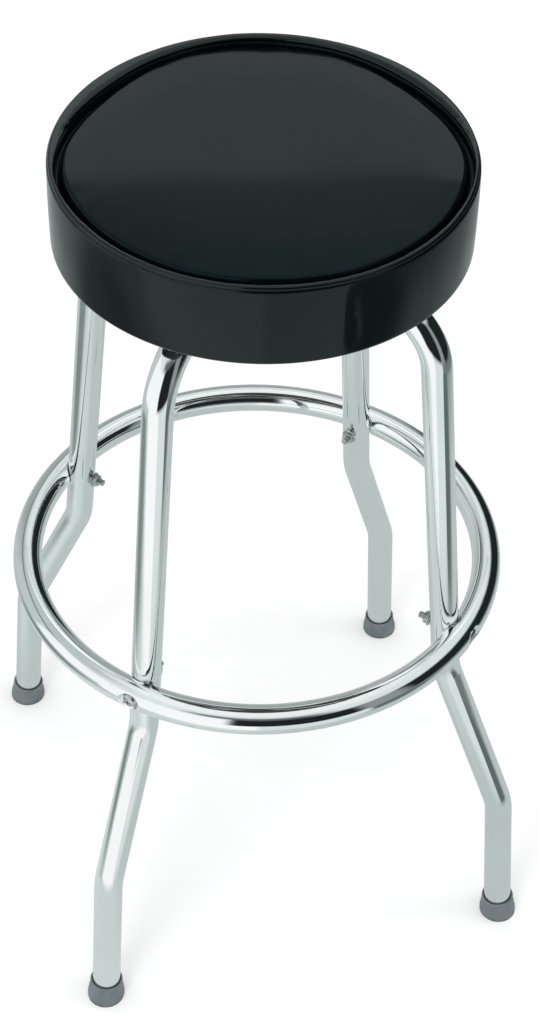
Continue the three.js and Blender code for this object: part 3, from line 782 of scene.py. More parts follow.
def add_leg(corner, bearing):
    corners = leg_corners()
    foot_direction = (corners[-1] - corners[-2]).normalized()
    corners[-1] -= foot_direction * (sole_thickness + glide_thickness + 2 * gap)
    turn = Matrix.Rotation(math.radians(bearing), 3, "Z")
    corners = [turn @ point for point in corners]
    mesh = bpy.data.meshes.new(f"leg_tube_{corner}")
    mesh.from_pydata(corners, [(i, i + 1) for i in range(len(corners) - 1)], [])
    leg = put_in_scene(f"leg_tube_{corner}", mesh)
    run_tree(leg, bent_tube, bend_radius=bend_radius, bend_steps=bend_steps,
             tube_radius=tube_radius, sides=tube_sides, finish=chrome)
    flatten_bends(leg.data, corners[1:-1])
    thicken(leg, tube_wall, crease=50)
    return dress(leg, "base", "chromed_tube", f"leg_{corner}")


def flatten_bends(mesh, bends):
    """A bent tube goes slightly oval at its bends: the inside of each bend is pressed towards the axis."""
    for bend in bends:
        outward = Vector((bend.x, bend.y, 0)).normalized()
        for vertex in mesh.vertices:
            away = vertex.co - bend
            if away.length < 3 * flattened_length:
                weight = math.exp(-((away.length / flattened_length) ** 2))
                side = away.dot(outward)
                vertex.co -= outward * (side * bend_flattening * weight)


# Foot ring


def smooth_least(a, b, width):
    """The lesser of two lengths, with the corner between them rounded."""
    overlap = max(width - abs(a - b), 0) / width
    return min(a, b) - overlap * overlap * width / 4


ring_leg_radius = leg_radius_at(ring_height)
ring_circle = ring_leg_radius + 2 * tube_radius - saddle_depth
ring_head_seat = ring_circle + tube_radius - head_flat_depth


def distance_to_leg(start, direction):
    """How far a ray from the ring's middle line goes before it meets the leg at bearing zero."""
    along = (leg_corners()[2] - leg_corners()[1]).normalized()
    offset = start - Vector((ring_leg_radius, 0, ring_height))
    across = direction - along * direction.dot(along)
    apart = offset - along * offset.dot(along)
    a, b = across.dot(across), across.dot(apart)
    inside = b * b - a * (apart.dot(apart) - (tube_radius + gap) ** 2)
    if inside < 0 or a < 1e-9:
        return math.inf
    first_meeting = (-b - math.sqrt(inside)) / a
    return first_meeting if first_meeting > 0 else math.inf


def ring_point(turn, angle):
    """A point of the ring's skin, at a turn from the nearest leg and an angle round the tube."""
    centre = polar(ring_circle, turn, ring_height)
    direction = polar(math.cos(angle), turn, math.sin(angle))
    reach = min(distance_to_leg(centre, direction), 4 * tube_radius)
    point = centre + direction * smooth_least(tube_radius, reach, saddle_lip)
    off_flat = max(math.hypot(point.y, point.z - ring_height) - ring_head_radius - head_flat_margin, 0)
    point.x = smooth_least(point.x, ring_head_seat + head_flat_slope * off_flat, head_flat_lip)
    return point


def add_foot_ring():
    """The ring in four quarters from leg to leg, with fine steps where it is dented round a leg."""
    fine_steps, coarse_steps = 64, 26
    fine_reach = math.radians(8.5)
    quarter = math.tau / 4
    turns = [-fine_reach + 2 * fine_reach * i / fine_steps for i in range(fine_steps)]
    turns += [fine_reach + (quarter - 2 * fine_reach) * i / coarse_steps for i in range(coarse_steps)]
    rings = []
    for bearing in leg_bearings.values():
        for turn in turns:
            from_leg = turn if turn < quarter / 2 else turn - quarter
            points = [ring_point(from_leg, math.tau * i / tube_sides) for i in range(tube_sides)]
            swing = Matrix.Rotation(math.radians(bearing) + turn - from_leg, 3, "Z")
            rings.append([swing @ point for point in points])
    ring = add_piece("foot_ring_tube", *skinned(rings, closed=True), chrome, crease=60)
    return dress(ring, "base", "chromed_tube", "foot_ring")


# Rubber feet


def foot_tilt():
    """Turns a foot made on Z so that it follows the lowest run of the leg at bearing zero."""
    up_the_leg = Vector((ankle_radius - foot_radius, 0, ankle_height)).normalized()
    turn = Vector((0, 0, 1)).rotation_difference(up_the_leg).to_matrix().to_4x4()
    return Matrix.Translation((foot_radius, 0, 0)) @ turn


def foot_profile():
    """The foot's outline from below the floor up its outside, over the lip and down the socket."""
    socket = tube_radius + close_fit
    waist = foot_top_radius + (foot_base_radius - foot_top_radius) / 3
    return [
        (0, -foot_base_radius),
        (foot_base_radius, -foot_base_radius),
        (foot_base_radius, foot_height * 0.22),
        (foot_base_radius - foot_step, foot_height * 0.3),
        (waist, foot_height * 0.58),
        (foot_top_radius, foot_height * 0.8),
        (foot_top_radius, foot_height - foot_lip),
        *arc((foot_top_radius - foot_lip, foot_height - foot_lip), foot_lip, 20, 90, 4),
        (socket + foot_chamfer * 0.55, foot_height - foot_lip / 7),
        (socket, foot_height - foot_chamfer),
        (socket, sole_thickness),
        (0, sole_thickness),
    ]


def add_rubber_foot(corner, bearing):
    """A foot turned on the leg's slant and cut off level with the floor."""
    points, faces = turned(foot_profile(), 72)
    place = Matrix.Rotation(math.radians(bearing), 4, "Z") @ foot_tilt()
    foot = add_piece(f"foot_cap_{corner}", [place @ point for point in points], faces, rubber)
    shell = bmesh.new()
    shell.from_mesh(foot.data)
    cut = bmesh.ops.bisect_plane(
        shell, geom=[*shell.verts, *shell.edges, *shell.faces],
        plane_co=(0, 0, 0), plane_no=(0, 0, -1), clear_outer=True)
    rim = [item for item in cut["geom_cut"] if isinstance(item, bmesh.types.BMEdge)]
    bmesh.ops.contextual_create(shell, geom=rim)
    bmesh.ops.recalc_face_normals(shell, faces=shell.faces)
    shell.to_mesh(foot.data)
    shell.free()
    smooth(foot.data, crease=28)
    return dress(foot, "base", "foot_rubber", f"rubber_foot_{corner}")


# Swivel


def round_hole(centre, radius, count=40):
    return arc(centre, radius, 0, 360, count)[:-1]


def on_diagonals(circle):
    return [polar(circle, math.radians(bearing)) for bearing in leg_bearings.values()]


def stamped_plate(name, bottom, holes):
    """A square plate with round corners and holes, its edges slightly rounded by the press."""
    inner = plate_side / 2 - plate_corner_round
    outline = []
    for quarter, (x, y) in enumerate([(1, 1), (-1, 1), (-1, -1), (1, -1)]):
        outline += arc((x * inner, y * inner), plate_corner_round, 90 * quarter, 90 * quarter + 90, 12)
    curve = bpy.data.curves.new(name, "CURVE")
    curve.dimensions = "2D"
    curve.fill_mode = "BOTH"
    for loop in [outline, *holes]:
        spline = curve.splines.new("POLY")
        spline.points.add(len(loop) - 1)
        for point, (x, y) in zip(spline.points, loop):
            point.co = (x, y, 0, 1)
        spline.use_cyclic_u = True
    curve.extrude = plate_thickness / 2 - plate_edge_round
    curve.bevel_depth = plate_edge_round
    curve.bevel_resolution = 2
    curve.offset = -plate_edge_round
    flat = put_in_scene(name + "_outline", curve)
    bpy.context.view_layer.update()
    mesh = bpy.data.meshes.new_from_object(flat.evaluated_get(bpy.context.evaluated_depsgraph_get()))
    bpy.data.objects.remove(flat)
    mesh.transform(Matrix.Translation((0, 0, bottom + plate_thickness / 2)))
    return add_piece(name, *shape_of(mesh), plate_paint, crease=30)


def hex_block(low_end, high_end, chamfer, hole=0.0):
    """A hexagon with its corners turned off at both ends, solid or bored."""
    steps, side = 6 * 8, math.tau / 6
    rings = []
    for height, reach in ((low_end, hex_radius - chamfer), (low_end + chamfer / 2, hex_radius),
                          (high_end - chamfer / 2, hex_radius), (high_end, hex_radius - chamfer)):
        ring = []
        for i in range(steps):
            angle = math.tau * i / steps
            flat = hex_radius * math.cos(side / 2) / math.cos(angle % side - side / 2)
            ring.append(polar(min(flat, reach), angle, height))
        rings.append(ring)
    if not hole:
        return skinned([[Vector((0, 0, low_end))], *rings, [Vector((0, 0, high_end))]])
    for height in (high_end, low_end):
        rings.append([polar(hole, math.tau * i / steps, height) for i in range(steps)])
    return skinned(rings, closed=True)


def shank_profile(length):
    """A threaded shank's outline from zero up: shallow rings at the thread's pitch and a chamfered end."""
    turns = max(int(length / thread_pitch), 1)
    pitch = length / turns
    outline = [(bolt_radius, 0)]
    for i in range(turns):
        outline += [(bolt_radius - thread_cut, pitch * (i + 0.5)), (bolt_radius, pitch * (i + 1))]
    end = length + thread_end
    return [*outline, (bolt_radius - thread_chamfer, end), (0, end)]


def flange_bolt(length):
    """Head below zero, shank above."""
    head = hex_block(-hex_head_height, -flange_thickness / 2, hex_chamfer)
    outline = [(0, -flange_thickness), (flange_radius, -flange_thickness), (flange_radius, 0), (0, 0)]
    flange = turned(rounded(outline, flange_round), 48)
    shank = turned([(0, -hex_head_height / 2), *shank_profile(length)], 24)
    return merged(head, flange, shank)


def crossed_screw(head_radius, head_height, length):
    """A domed head below zero with a cross recess, and a threaded shank above."""
    dome = [(head_radius * math.sin(math.tau / 4 * i / 10), -head_height * math.cos(math.tau / 4 * i / 10))
            for i in range(11)]
    points, faces = turned([*dome, (bolt_radius, 0), *shank_profile(length)], 48)
    mesh = bpy.data.meshes.new("domed_screw")
    mesh.from_pydata([tuple(p) for p in points], [], faces)
    screw = put_in_scene("screw_blank", mesh)
    half, arm = cross_width / 2, head_radius * 0.5
    ends = (-head_height - cross_depth, -head_height + cross_depth)
    arms = [bar((0, 0), x, y, *ends, high_share=0.6) for x, y in ((arm, half), (half, arm))]
    punch = add_piece("cross_punch", *merged(*arms), zinc)
    cut = screw.modifiers.new("cross", "BOOLEAN")
    cut.object = punch
    cut.operation = "DIFFERENCE"
    cut.solver = "EXACT"
    cut.use_self = True
    shape = shape_of(plain_mesh(screw).data)
    bpy.data.objects.remove(screw)
    bpy.data.objects.remove(punch)
    return shape


def laid_inward(shape, radius):
    """A part made on Z laid down so that it points to the stool's axis, with its zero at a radius."""
    lay = Matrix.Translation((radius, 0, ring_height)) @ Matrix.Rotation(-math.pi / 2, 4, "Y")
    points, faces = shape
    return [lay @ point for point in points], faces


def add_swivel_plates():
    """The two stamped plates, the lower one with nuts welded over its leg bolts."""
    centre_hole = round_hole((0, 0), kingpin_radius + gap)
    hole = bolt_radius + hole_clearance
    leg_bolt_places = [place for circle in leg_bolt_circles for place in on_diagonals(circle)]
    leg_holes = [round_hole(place, hole, 24) for place in leg_bolt_places]
    lower = stamped_plate("lower_swivel_plate", lower_plate_bottom, [centre_hole, *leg_holes])
    nut_bottom = lower_plate_bottom + plate_thickness
    nut_shape = hex_block(nut_bottom, nut_bottom + weld_nut_height, weld_nut_chamfer, hole)
    for circle in leg_bolt_circles:
        nut = add_piece("weld_nut", *nut_shape, plate_paint, crease=30)
        nuts = copies("weld_nuts", nut, plate_paint, circle=circle)
        lower = joined("lower_swivel_plate", [lower, nuts])
    dress(lower, "base", "painted_plate", "swivel_bottom_plate")
    seat_holes = [round_hole(place, hole, 24) for place in on_diagonals(seat_screw_circle)]
    upper = stamped_plate("upper_swivel_plate", upper_plate_bottom, [centre_hole, *seat_holes])
    dress(upper, "seat", "painted_plate", "swivel_top_plate")


def add_kingpin():
    """The pin that the seat turns on, riveted over its washer."""
    head_radius = high("kingpin").x
    under_plate = lower_plate_bottom - gap
    washer_low, washer_high = low("kingpin_washer").z, high("kingpin_washer").z
    washer_radius = high("kingpin_washer").x
    rivet_low, rivet_high = washer_high + gap, high("kingpin").z
    shank = rounded([(0, low("kingpin").z), (head_radius, low("kingpin").z), (head_radius, under_plate),
                     (kingpin_radius, under_plate), (kingpin_radius, rivet_low)], kingpin_round)
    rivet = [(9 * mm, rivet_low), (8.6 * mm, rivet_low + 1 * mm), (7 * mm, rivet_high - 0.6 * mm),
             (3.5 * mm, rivet_high - 0.1 * mm), (0, rivet_high)]
    pin = add_piece("swivel_kingpin", *turned([*shank, *rivet], 64), zinc, crease=30)
    dress(pin, "base", "zinc_plated_steel", "kingpin")
    bore = kingpin_radius + gap
    outline = rounded([(bore, washer_low), (washer_radius, washer_low),
                       (washer_radius, washer_high), (bore, washer_high)], gap)
    washer = add_piece("swivel_washer", *turned(outline, 64, closed=True), zinc, crease=30)
    dress(washer, "base", "zinc_plated_steel", "kingpin_washer")


def add_bearing_balls():
    rows = 12
    side = [(ball_radius * math.sin(math.pi * i / rows), -ball_radius * math.cos(math.pi * i / rows))
            for i in range(1, rows)]
    ball = add_piece("one_ball", *turned([(0, -ball_radius), *side, (0, ball_radius)], 20), bearing_steel)
    balls = copies("bearing_balls", ball, bearing_steel, count=ball_count, circle=ball_circle,
                   height=ball_height, first=0)
    dress(balls, "ball_carrier", "bearing_steel", *[f"swivel_ball_{i + 1:02d}" for i in range(ball_count)])


def add_leg_bolts():
    head_top = top_run_height - tube_radius - gap
    length = lower_plate_bottom + plate_thickness + weld_nut_height - head_top
    bolts = []
    for seed, circle in enumerate(leg_bolt_circles, start=3):
        bolt = add_piece("one_bolt", *flange_bolt(length), zinc, crease=30)
        bolts.append(copies("bolts", bolt, zinc, circle=circle, height=head_top, own_turn=60, seed=seed))
    nodes = [*at_corners("leg_bolt_outer"), *at_corners("leg_bolt_inner")]
    dress(joined("leg_bolts", bolts), "base", "zinc_plated_steel", *nodes)


def add_seat_screws():
    """The screws under the upper plate and the tee nuts in the board that they hold."""
    nut_low, nut_high = low("seat_tee_nut_front_left").z, high("seat_tee_nut_front_left").z
    flange_low = nut_high - tee_nut_flange_thickness
    head_face = upper_plate_bottom - gap
    shape = crossed_screw(pan_head_radius, pan_head_height, flange_low - head_face)
    screw = add_piece("one_screw", *shape, zinc, crease=30)
    screws = copies("seat_screws", screw, zinc, circle=seat_screw_circle, height=head_face,
                    own_turn=90, seed=8)
    dress(screws, "seat", "zinc_plated_steel", *at_corners("seat_screw"))
    thread, barrel, flange = bolt_radius + gap, tee_nut_barrel_radius, tee_nut_flange_radius
    outline = rounded([(thread, nut_low), (barrel, nut_low), (barrel, flange_low),
                       (flange, flange_low), (flange, nut_high), (thread, nut_high)], gap)
    tee_nut = add_piece("one_tee_nut", *turned(outline, 40, closed=True), zinc, crease=30)
    tee_nuts = copies("tee_nuts", tee_nut, zinc, circle=seat_screw_circle)
    dress(tee_nuts, "seat", "zinc_plated_steel", *at_corners("seat_tee_nut"))


def add_ring_bolts():
    """The bolts that hold the ring to the legs from outside, and their nuts inside the legs."""
    bolt_end, nut_face = reaches("ring_bolt_front_left")[0], reaches("ring_nut_front_left")[1]
    head_face = ring_head_seat + gap
    shape = crossed_screw(ring_head_radius, ring_head_height, head_face - bolt_end - thread_end)
    bolt = add_piece("one_ring_bolt", *laid_inward(shape, head_face), zinc, crease=30)
    dress(copies("ring_bolts", bolt, zinc), "base", "zinc_plated_steel", *at_corners("ring_bolt"))
    thread = bolt_radius + gap
    outline = rounded([(thread, 0), (flange_radius, 0), (flange_radius, flange_thickness * 0.6),
                       (hex_radius, flange_thickness), (thread, flange_thickness)], gap)
    block = hex_block(flange_thickness / 2, ring_nut_height, hex_chamfer, bolt_radius + close_fit)
    shape = merged(block, turned(outline, 48, closed=True))
    nut = add_piece("one_ring_nut", *laid_inward(shape, nut_face), zinc, crease=30)
    dress(copies("ring_nuts", nut, zinc), "base", "zinc_plated_steel", *at_corners("ring_nut"))


def reaches(node):
    """How near to the stool's axis a node on the front left diagonal comes, and how far out it goes."""
    points = [vertex.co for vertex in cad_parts[node].data.vertices]
    distances = [radius_of(point) for point in points if abs(point.x - point.y) < 0.2 * mm]
    return min(distances), max(distances)


# Seat


def crown_height(radius):
    return crown_base + crown_rise * (1 - (radius / crown_radius) ** crown_power)


def crown_line(inset, steps):
    """The crown from its middle to where it rounds over into the groove, or a line inside it."""
    start = panel_edge - panel_edge_round * 0.85
    radii = [start * (i / steps) ** 0.8 for i in range(steps)]
    return [(radius, crown_height(radius) - inset) for radius in radii]


def groove_line(inset=0.0):
    """From the crown's rounded edge down to the groove's floor and up to the seam, or a line inside it."""
    edge_centre = panel_edge - panel_edge_round
    tilt = math.degrees(math.atan(crown_rise * crown_power / crown_radius))
    edge_height = crown_height(edge_centre) - panel_edge_round
    outer = groove_middle + groove_round + inset
    return [
        *arc((edge_centre, edge_height), panel_edge_round - inset, 90 - tilt, 6, 7),
        *arc((groove_middle, groove_floor + groove_round), groove_round + inset, 200, 340, 7),
        *[(outer + out * mm, bead_height + up * mm) for out, up in groove_side],
    ]


def near(bearing, place, width):
    """1 at a place given in degrees, fading over a width on either side of it."""
    off = (math.degrees(bearing) - place + 180) % 360 - 180
    return math.exp(-((off / width) ** 2))


def behind(bearing):
    """0 at the front of the rim and 1 at its back."""
    return 0.5 + 0.5 * math.sin(bearing + rim_turn)


def pulled_in(bearing):
    """How far the stitches have drawn the crown's edge in, most of all behind on either side."""
    return mm * (0.6 + 2.2 * near(bearing, 78, 50) + 10.5 * near(bearing, 20, 28)
                 + 11 * near(bearing, 134, 27) + 1.6 * near(bearing, -145, 35))


def bead_half_width(bearing):
    """The bead is round in front and squeezed flat and wide behind, where the cover was drawn in."""
    return bead_half_width_in_front + mm * (
        1.7 * behind(bearing) + 3.7 * near(bearing, 128, 27) + 2.6 * near(bearing, 28, 26)
        - 1.3 * near(bearing, -20, 20) - 1.3 * near(bearing, 178, 14) - 0.4 * near(bearing, -66, 30)
    )


def bead_half_height(bearing):
    return bead_half_height_in_front + bead_half_height_gain * behind(bearing)


def leaning(bearing):
    """How much higher than its middle height the rim stands."""
    return rim_lean * math.sin(bearing + rim_turn)


def draped(crown, groove, segments):
    """Rings of the seat's top over its crown and its groove, its edge drawn in and its rim leaning."""
    edge_height = crown_height(panel_edge - edge_width)
    line = [(radius, height, eased(radius, panel_edge - pull_width, panel_edge - edge_width), 0)
            for radius, height in crown]
    for (radius, height), (plain_radius, plain_height) in zip(groove, groove_line()):
        share = (plain_height - groove_floor) / (edge_height - groove_floor)
        drawn = min(max(share, 0), 1) * (plain_radius < groove_middle)
        line.append((radius, height, drawn, 1 - drawn))
    rings = []
    for radius, height, drawn, widened in line:
        leans = eased(radius, panel_edge - edge_width / 2, groove_middle)
        ring = []
        for k in range(segments if radius > 0 else 1):
            bearing = math.tau * k / segments
            wider = 2 * (bead_half_width(bearing) - bead_half_width_in_front)
            reach = radius - drawn * pulled_in(bearing) - widened * wider
            ring.append(polar(reach, bearing, height + leans * leaning(bearing)))
        rings.append(ring)
    return rings


def eased(value, start, end):
    """From 0 at the start to 1 at the end, in a smooth run."""
    share = min(max((value - start) / (end - start), 0), 1)
    return share * share * (3 - 2 * share)


def drift(rng, waves):
    """A smooth random function of the bearing that closes on itself: a sum of a few waves."""
    terms = [(count, amount * rng.uniform(0.5, 1), rng.uniform(0, math.tau)) for count, amount in waves]
    return lambda bearing: sum(amount * math.sin(count * bearing + phase) for count, amount, phase in terms)


def relax_cloth(sheet, sewn, reach, pressure=0.5, steps=20):
    """Simulates a taut sheet over its padding: sewn points stay, and the others move by up to reach."""
    sheet.vertex_groups.new(name="sewn").add(sewn, 1.0, "REPLACE")
    rest = [vertex.co.copy() for vertex in sheet.data.vertices]
    cloth = sheet.modifiers.new("cloth", "CLOTH")
    settings = cloth.settings
    settings.vertex_group_mass = "sewn"
    settings.effector_weights.gravity = 0
    settings.use_pressure = True
    settings.uniform_pressure_force = pressure
    settings.tension_stiffness = 40
    settings.compression_stiffness = 40
    settings.bending_stiffness = 2
    cloth.collision_settings.use_collision = False
    cloth.point_cache.frame_start = 1
    cloth.point_cache.frame_end = steps
    for step in range(1, steps + 1):
        scene.frame_set(step)
    evaluated = sheet.evaluated_get(bpy.context.evaluated_depsgraph_get())
    settled = [vertex.co.copy() for vertex in evaluated.data.vertices]
    sheet.modifiers.remove(cloth)
    scene.frame_set(1)
    farthest = max((end - start).length for start, end in zip(rest, settled))
    for vertex, start, end in zip(sheet.data.vertices, rest, settled):
        vertex.co = start.lerp(end, min(reach / max(farthest, 1e-9), 1))


def add_top_panel():
    """The disc of vinyl over the crown, drawn down into the groove inside the bead by its stitches."""
    rng = random.Random(5)
    segments = 180
    crown = crown_line(0, 30)
    panel = add_piece("top_panel_vinyl", *skinned(draped(crown, groove_line(), segments)), top_vinyl)
    pull = drift(rng, [(5, 0.25 * mm), (9, 0.2 * mm), (23, 0.12 * mm), (41, 0.08 * mm)])
    for vertex in panel.data.vertices:
        on_edge = eased(radius_of(vertex.co), panel_edge - pucker_start, panel_edge - pucker_full)
        above_groove = vertex.co.z > groove_floor + pucker_lowest
        vertex.co.z += pull(bearing_of(vertex.co)) * on_edge * above_groove
    crown_points = 1 + (len(crown) - 1) * segments
    relax_cloth(panel, list(range(crown_points, len(panel.data.vertices))), panel_travel)
    thicken(panel, vinyl_thickness, levels=1)
    return dress(panel, "seat", "seat_vinyl", "seat_top_panel")


def band_line(wall_top, wall_bottom):
    """From the sewn edge over the top corner, down the wall and round its foot to the hem's end."""
    sewn_height = crease_height - flange_drop
    top_centre = (band_edge_radius - band_top_round, wall_top)
    line = [
        (groove_middle + 3.8 * mm, sewn_height),
        (rim_radius - 2 * mm, sewn_height),
        (top_centre[0] - 0.3 * mm, crease_height - 1.2 * mm),
        *arc(top_centre, band_top_round, 90, 0, 5)[:-1],
    ]
    wall_rings, hem_rings = 14, 6
    for i in range(wall_rings + 1):
        share = i / wall_rings
        bulge = band_bulge * math.sin(math.pi * share)
        line.append((band_edge_radius + bulge, wall_top + (wall_bottom - wall_top) * share))
    line += arc((band_edge_radius - band_corner_round, wall_bottom), band_corner_round, 0, -90, 5)[1:]
    hem_start = band_edge_radius - vinyl_thickness - gap
    line += [(hem_start - hem_width * i / hem_rings, seat_underside) for i in range(1, hem_rings + 1)]
    return line


def add_side_band():
    """The wall of the seat, drawn in at its seam, turned under the board and pleated at its hem."""
    wall_top = crease_height - band_top_round
    wall_bottom = seat_underside + band_corner_round
    corner_end = band_edge_radius - band_corner_round
    band = add_piece("side_band_vinyl", *turned(band_line(wall_top, wall_bottom), 240), vinyl)
    rng = random.Random(11)
    slack = drift(rng, [(3, 0.2 * mm), (7, 0.18 * mm), (13, 0.12 * mm), (29, 0.07 * mm)])
    lower_slack = drift(rng, [(4, 0.15 * mm), (11, 0.15 * mm), (31, 0.1 * mm)])
    wander = drift(rng, [(60, 0.006), (95, 0.004)])
    pleat = drift(rng, [(46, 0.35 * mm), (61, 0.25 * mm), (17, 0.15 * mm)])
    for vertex in band.data.vertices:
        bearing, radius, height = bearing_of(vertex.co), radius_of(vertex.co), vertex.co.z
        share = (height - wall_bottom) / (wall_top - wall_bottom)
        if 0 < share < 1:
            push = slack(bearing) * share + lower_slack(bearing) * (1 - share)
            off = (bearing - wrinkle_bearing - wander(share)) * band_edge_radius
            push += wrinkle_height * math.exp(-((off / wrinkle_width) ** 2))
            push -= hollow_depth * math.exp(-(((off - hollow_offset) / hollow_width) ** 2))
            vertex.co += polar(push * math.sin(math.pi * share), bearing)
        vertex.co.z += leaning(bearing) * eased(height, seat_underside + lean_start, wall_top)
        if height < seat_underside + gap / 3 and radius < corner_end:
            vertex.co.z -= abs(pleat(bearing)) * min((corner_end - radius) / hem_width, 1)
    sewn = [v.index for v in band.data.vertices if not wall_bottom < v.co.z < wall_top - rim_lean]
    relax_cloth(band, sewn, band_travel)
    thicken(band, vinyl_thickness, levels=1)
    return dress(band, "seat", "seat_vinyl", "seat_side_band")


def add_bead():
    """The cord-filled bead sewn in between the panel and the band, slightly uneven along its stitches."""
    rng = random.Random(3)
    segments, sides = 360, 28
    uneven = drift(rng, [(19, 0.05 * mm), (37, 0.05 * mm), (83, 0.05 * mm), (131, 0.04 * mm)])
    lift = drift(rng, [(3, 0.12 * mm), (8, 0.1 * mm), (21, 0.06 * mm)])
    rings = []
    for i in range(segments):
        bearing = math.tau * i / segments
        across = bead_half_width(bearing) + uneven(bearing)
        up = bead_half_height(bearing) + uneven(bearing)
        middle = bead_height + leaning(bearing) + lift(bearing)
        ring = []
        for k in range(sides):
            angle = math.tau * k / sides
            reach = rim_radius - across + across * math.cos(angle)
            ring.append(polar(reach, bearing, middle + up * math.sin(angle)))
        rings.append(ring)
    bead = add_piece("bead_vinyl", *skinned(rings, closed=True), bead_vinyl, crease=80)
    return dress(bead, "seat", "seat_vinyl", "seat_bead")


def add_foam():
    """The padding between the board and the cover, with the small hollows of a cut block."""
    rng = random.Random(7)
    segments, side_rings = 120, 8
    box_low, box_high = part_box("seat_foam")
    core = box_high.x - 2 * gap
    under_vinyl = vinyl_thickness + 3 * gap
    shoulder = groove_floor - under_vinyl - foam_shoulder_drop
    down_to_floor = groove_line(under_vinyl)[:12]
    rings = draped(crown_line(under_vinyl, 14), down_to_floor, segments)
    for i in range(side_rings + 1):
        height = shoulder + (box_low.z - shoulder) * i / side_rings
        rings.append([polar(core, math.tau * k / segments, height) for k in range(segments)])
    points, faces = skinned([*rings, [Vector((0, 0, box_low.z))]])
    for point in points:
        inward = Vector((point.x, point.y, 0)).normalized() * -1
        point += inward * rng.uniform(0, foam_hollow)
        point.z -= rng.uniform(0, 0.8 * foam_hollow) * (point.z > box_low.z + mm)
    foam = add_piece("foam_pad", points, faces, foam_padding, crease=60)
    return dress(foam, "seat", "seat_padding", "seat_foam")


def add_staples():
    """Wire staples through the hem into the board, set round it by hand and so a little out of true."""
    half_wire, half_width = staple_wire / 2, staple_width / 2
    crown_low = seat_underside - staple_stand
    crown = bar((0, 0), half_wire, half_width, crown_low, crown_low + staple_crown)
    legs = [bar((0, side * (half_width - half_wire)), half_wire, half_wire,
                crown_low + staple_crown / 2, board_bottom + staple_bite) for side in (-1, 1)]
    staple = add_piece("one_staple", *merged(crown, *legs), zinc, crease=30)
    circle = band_edge_radius - hem_width * 0.72
    staples = copies("hem_staples", staple, zinc, count=staple_count, circle=circle, first=4,
                     scatter=5, own_turn=16, seed=21)
    return dress(staples, "seat", "zinc_plated_steel")


# Floor, world and lamps
floor_reach = 14.0
floor_fade = (1.1, 2.4)  # distances over which the floor turns white
painted_light_edge_bearing = math.radians(-103.45)  # square to the edge of the painted pool of light on the floor
board_distance, board_half_width = 0.5, 0.42
board_bearing = math.radians(74)
board_low, board_high = 0.87, 1.20
board_left_top, board_right_top = board_high - 45 * mm, board_high + 35 * mm


def towards(tree, direction, bearing, narrow, wide):
    """1 where a direction seen from above is within the narrow angle of a bearing, 0 past the wide one."""
    level = vector_math(tree, "NORMALIZE", vector_math(tree, "MULTIPLY", direction, (1, 1, 0)))
    facing = vector_math(tree, "DOT_PRODUCT", level, polar(1, math.radians(bearing)))
    return spread(tree, facing, math.cos(math.radians(wide)), math.cos(math.radians(narrow)))


def make_studio_walls():
    """The studio's walls as the metal shows them: white on the left, dark on the right, grey behind."""
    group, given, out = new_group("studio_walls", {"Direction": (VECTOR, (0, 0, 1))}, {"Color": COLOUR})
    direction = given["Direction"]
    dark = blended(group, towards(group, direction, -52, 5, 14), (0.013, 0.018, 0.017), (0.27, 0.3, 0.3))
    wall = blended(group, towards(group, direction, -28, 84, 90), (0.36, 0.4, 0.395), dark)
    wall = blended(group, towards(group, direction, 157, 20, 50), wall, (0.56, 0.62, 0.61))
    wall = blended(group, towards(group, direction, -161, 42, 47), wall, (0.98, 1.0, 1.0))
    group.links.new(wall, out["Color"])
    return group


studio_walls = make_studio_walls()


def floor_painted_light_in_metal(tree, place):
    """The floor as the metal shows it, all painted light and shade: a grey painted shadow round the stool, a
    white painted pool of light in front, painted dark far to the right.
    """
    away = vector_math(tree, "LENGTH", place)
    right = times(tree, towards(tree, place, -5, 48, 70), spread(tree, away, 0.8, 1.5))
    shade = blended(tree, right, (0.51, 0.57, 0.565), (0.17, 0.2, 0.195))
    # painted spots of light and shade on the floor, which only the metal shows
    for spot, reach, tone in (
        ((-0.36, -0.32, 0), 0.42, (0.62, 0.69, 0.685)),
        ((-0.5, 0.06, 0), 0.34, (0.66, 0.73, 0.725)),
        ((0.65, -0.84, 0), 0.54, (0.12, 0.15, 0.15)),
        ((-0.88, 0.22, 0), 0.5, (0.22, 0.26, 0.26)),
    ):
        apart = vector_math(tree, "DISTANCE", place, spot)
        shade = blended(tree, spread(tree, apart, 0.45 * reach, reach, 1.0, 0.0), shade, tone)
    # a painted pool of light on the floor in front of the stool
    lit = blended(tree, towards(tree, place, -83, 19, 23), (1.0, 1.0, 1.0), (0.72, 0.78, 0.78))
    past_line = spread(tree, vector_math(tree, "DOT_PRODUCT", place, polar(1, painted_light_edge_bearing)), 0.4, 0.72)
    shade = blended(tree, times(tree, past_line, towards(tree, place, -114.5, 51, 55)), shade, lit)
    far = use_group(tree, studio_walls, Direction=place)["Color"]
    return blended(tree, spread(tree, away, 1.7, 3.2), shade, far)


def emission(tree, colour, strength=1.0):
    return add_node(tree, "ShaderNodeEmission", {"Color": colour, "Strength": strength}).outputs[0]


def either(tree, factor, first, second):
    """From the first shader to the second as the factor goes from 0 to 1."""
    return add_node(tree, "ShaderNodeMixShader", {0: factor, 1: first, 2: second}).outputs[0]


def staged_sheet(name, corners, material, tree, seen):
    """A four-cornered sheet of the surroundings, shown as a shader tree says."""
    set_input(tree, tree.nodes["Material Output"].inputs["Surface"], seen)
    material.cycles.emission_sampling = "NONE"
    mesh = bpy.data.meshes.new(name)
    mesh.from_pydata(corners, [], [(0, 1, 2, 3)])
    mesh.materials.append(material)
    return put_in_scene(name, mesh)


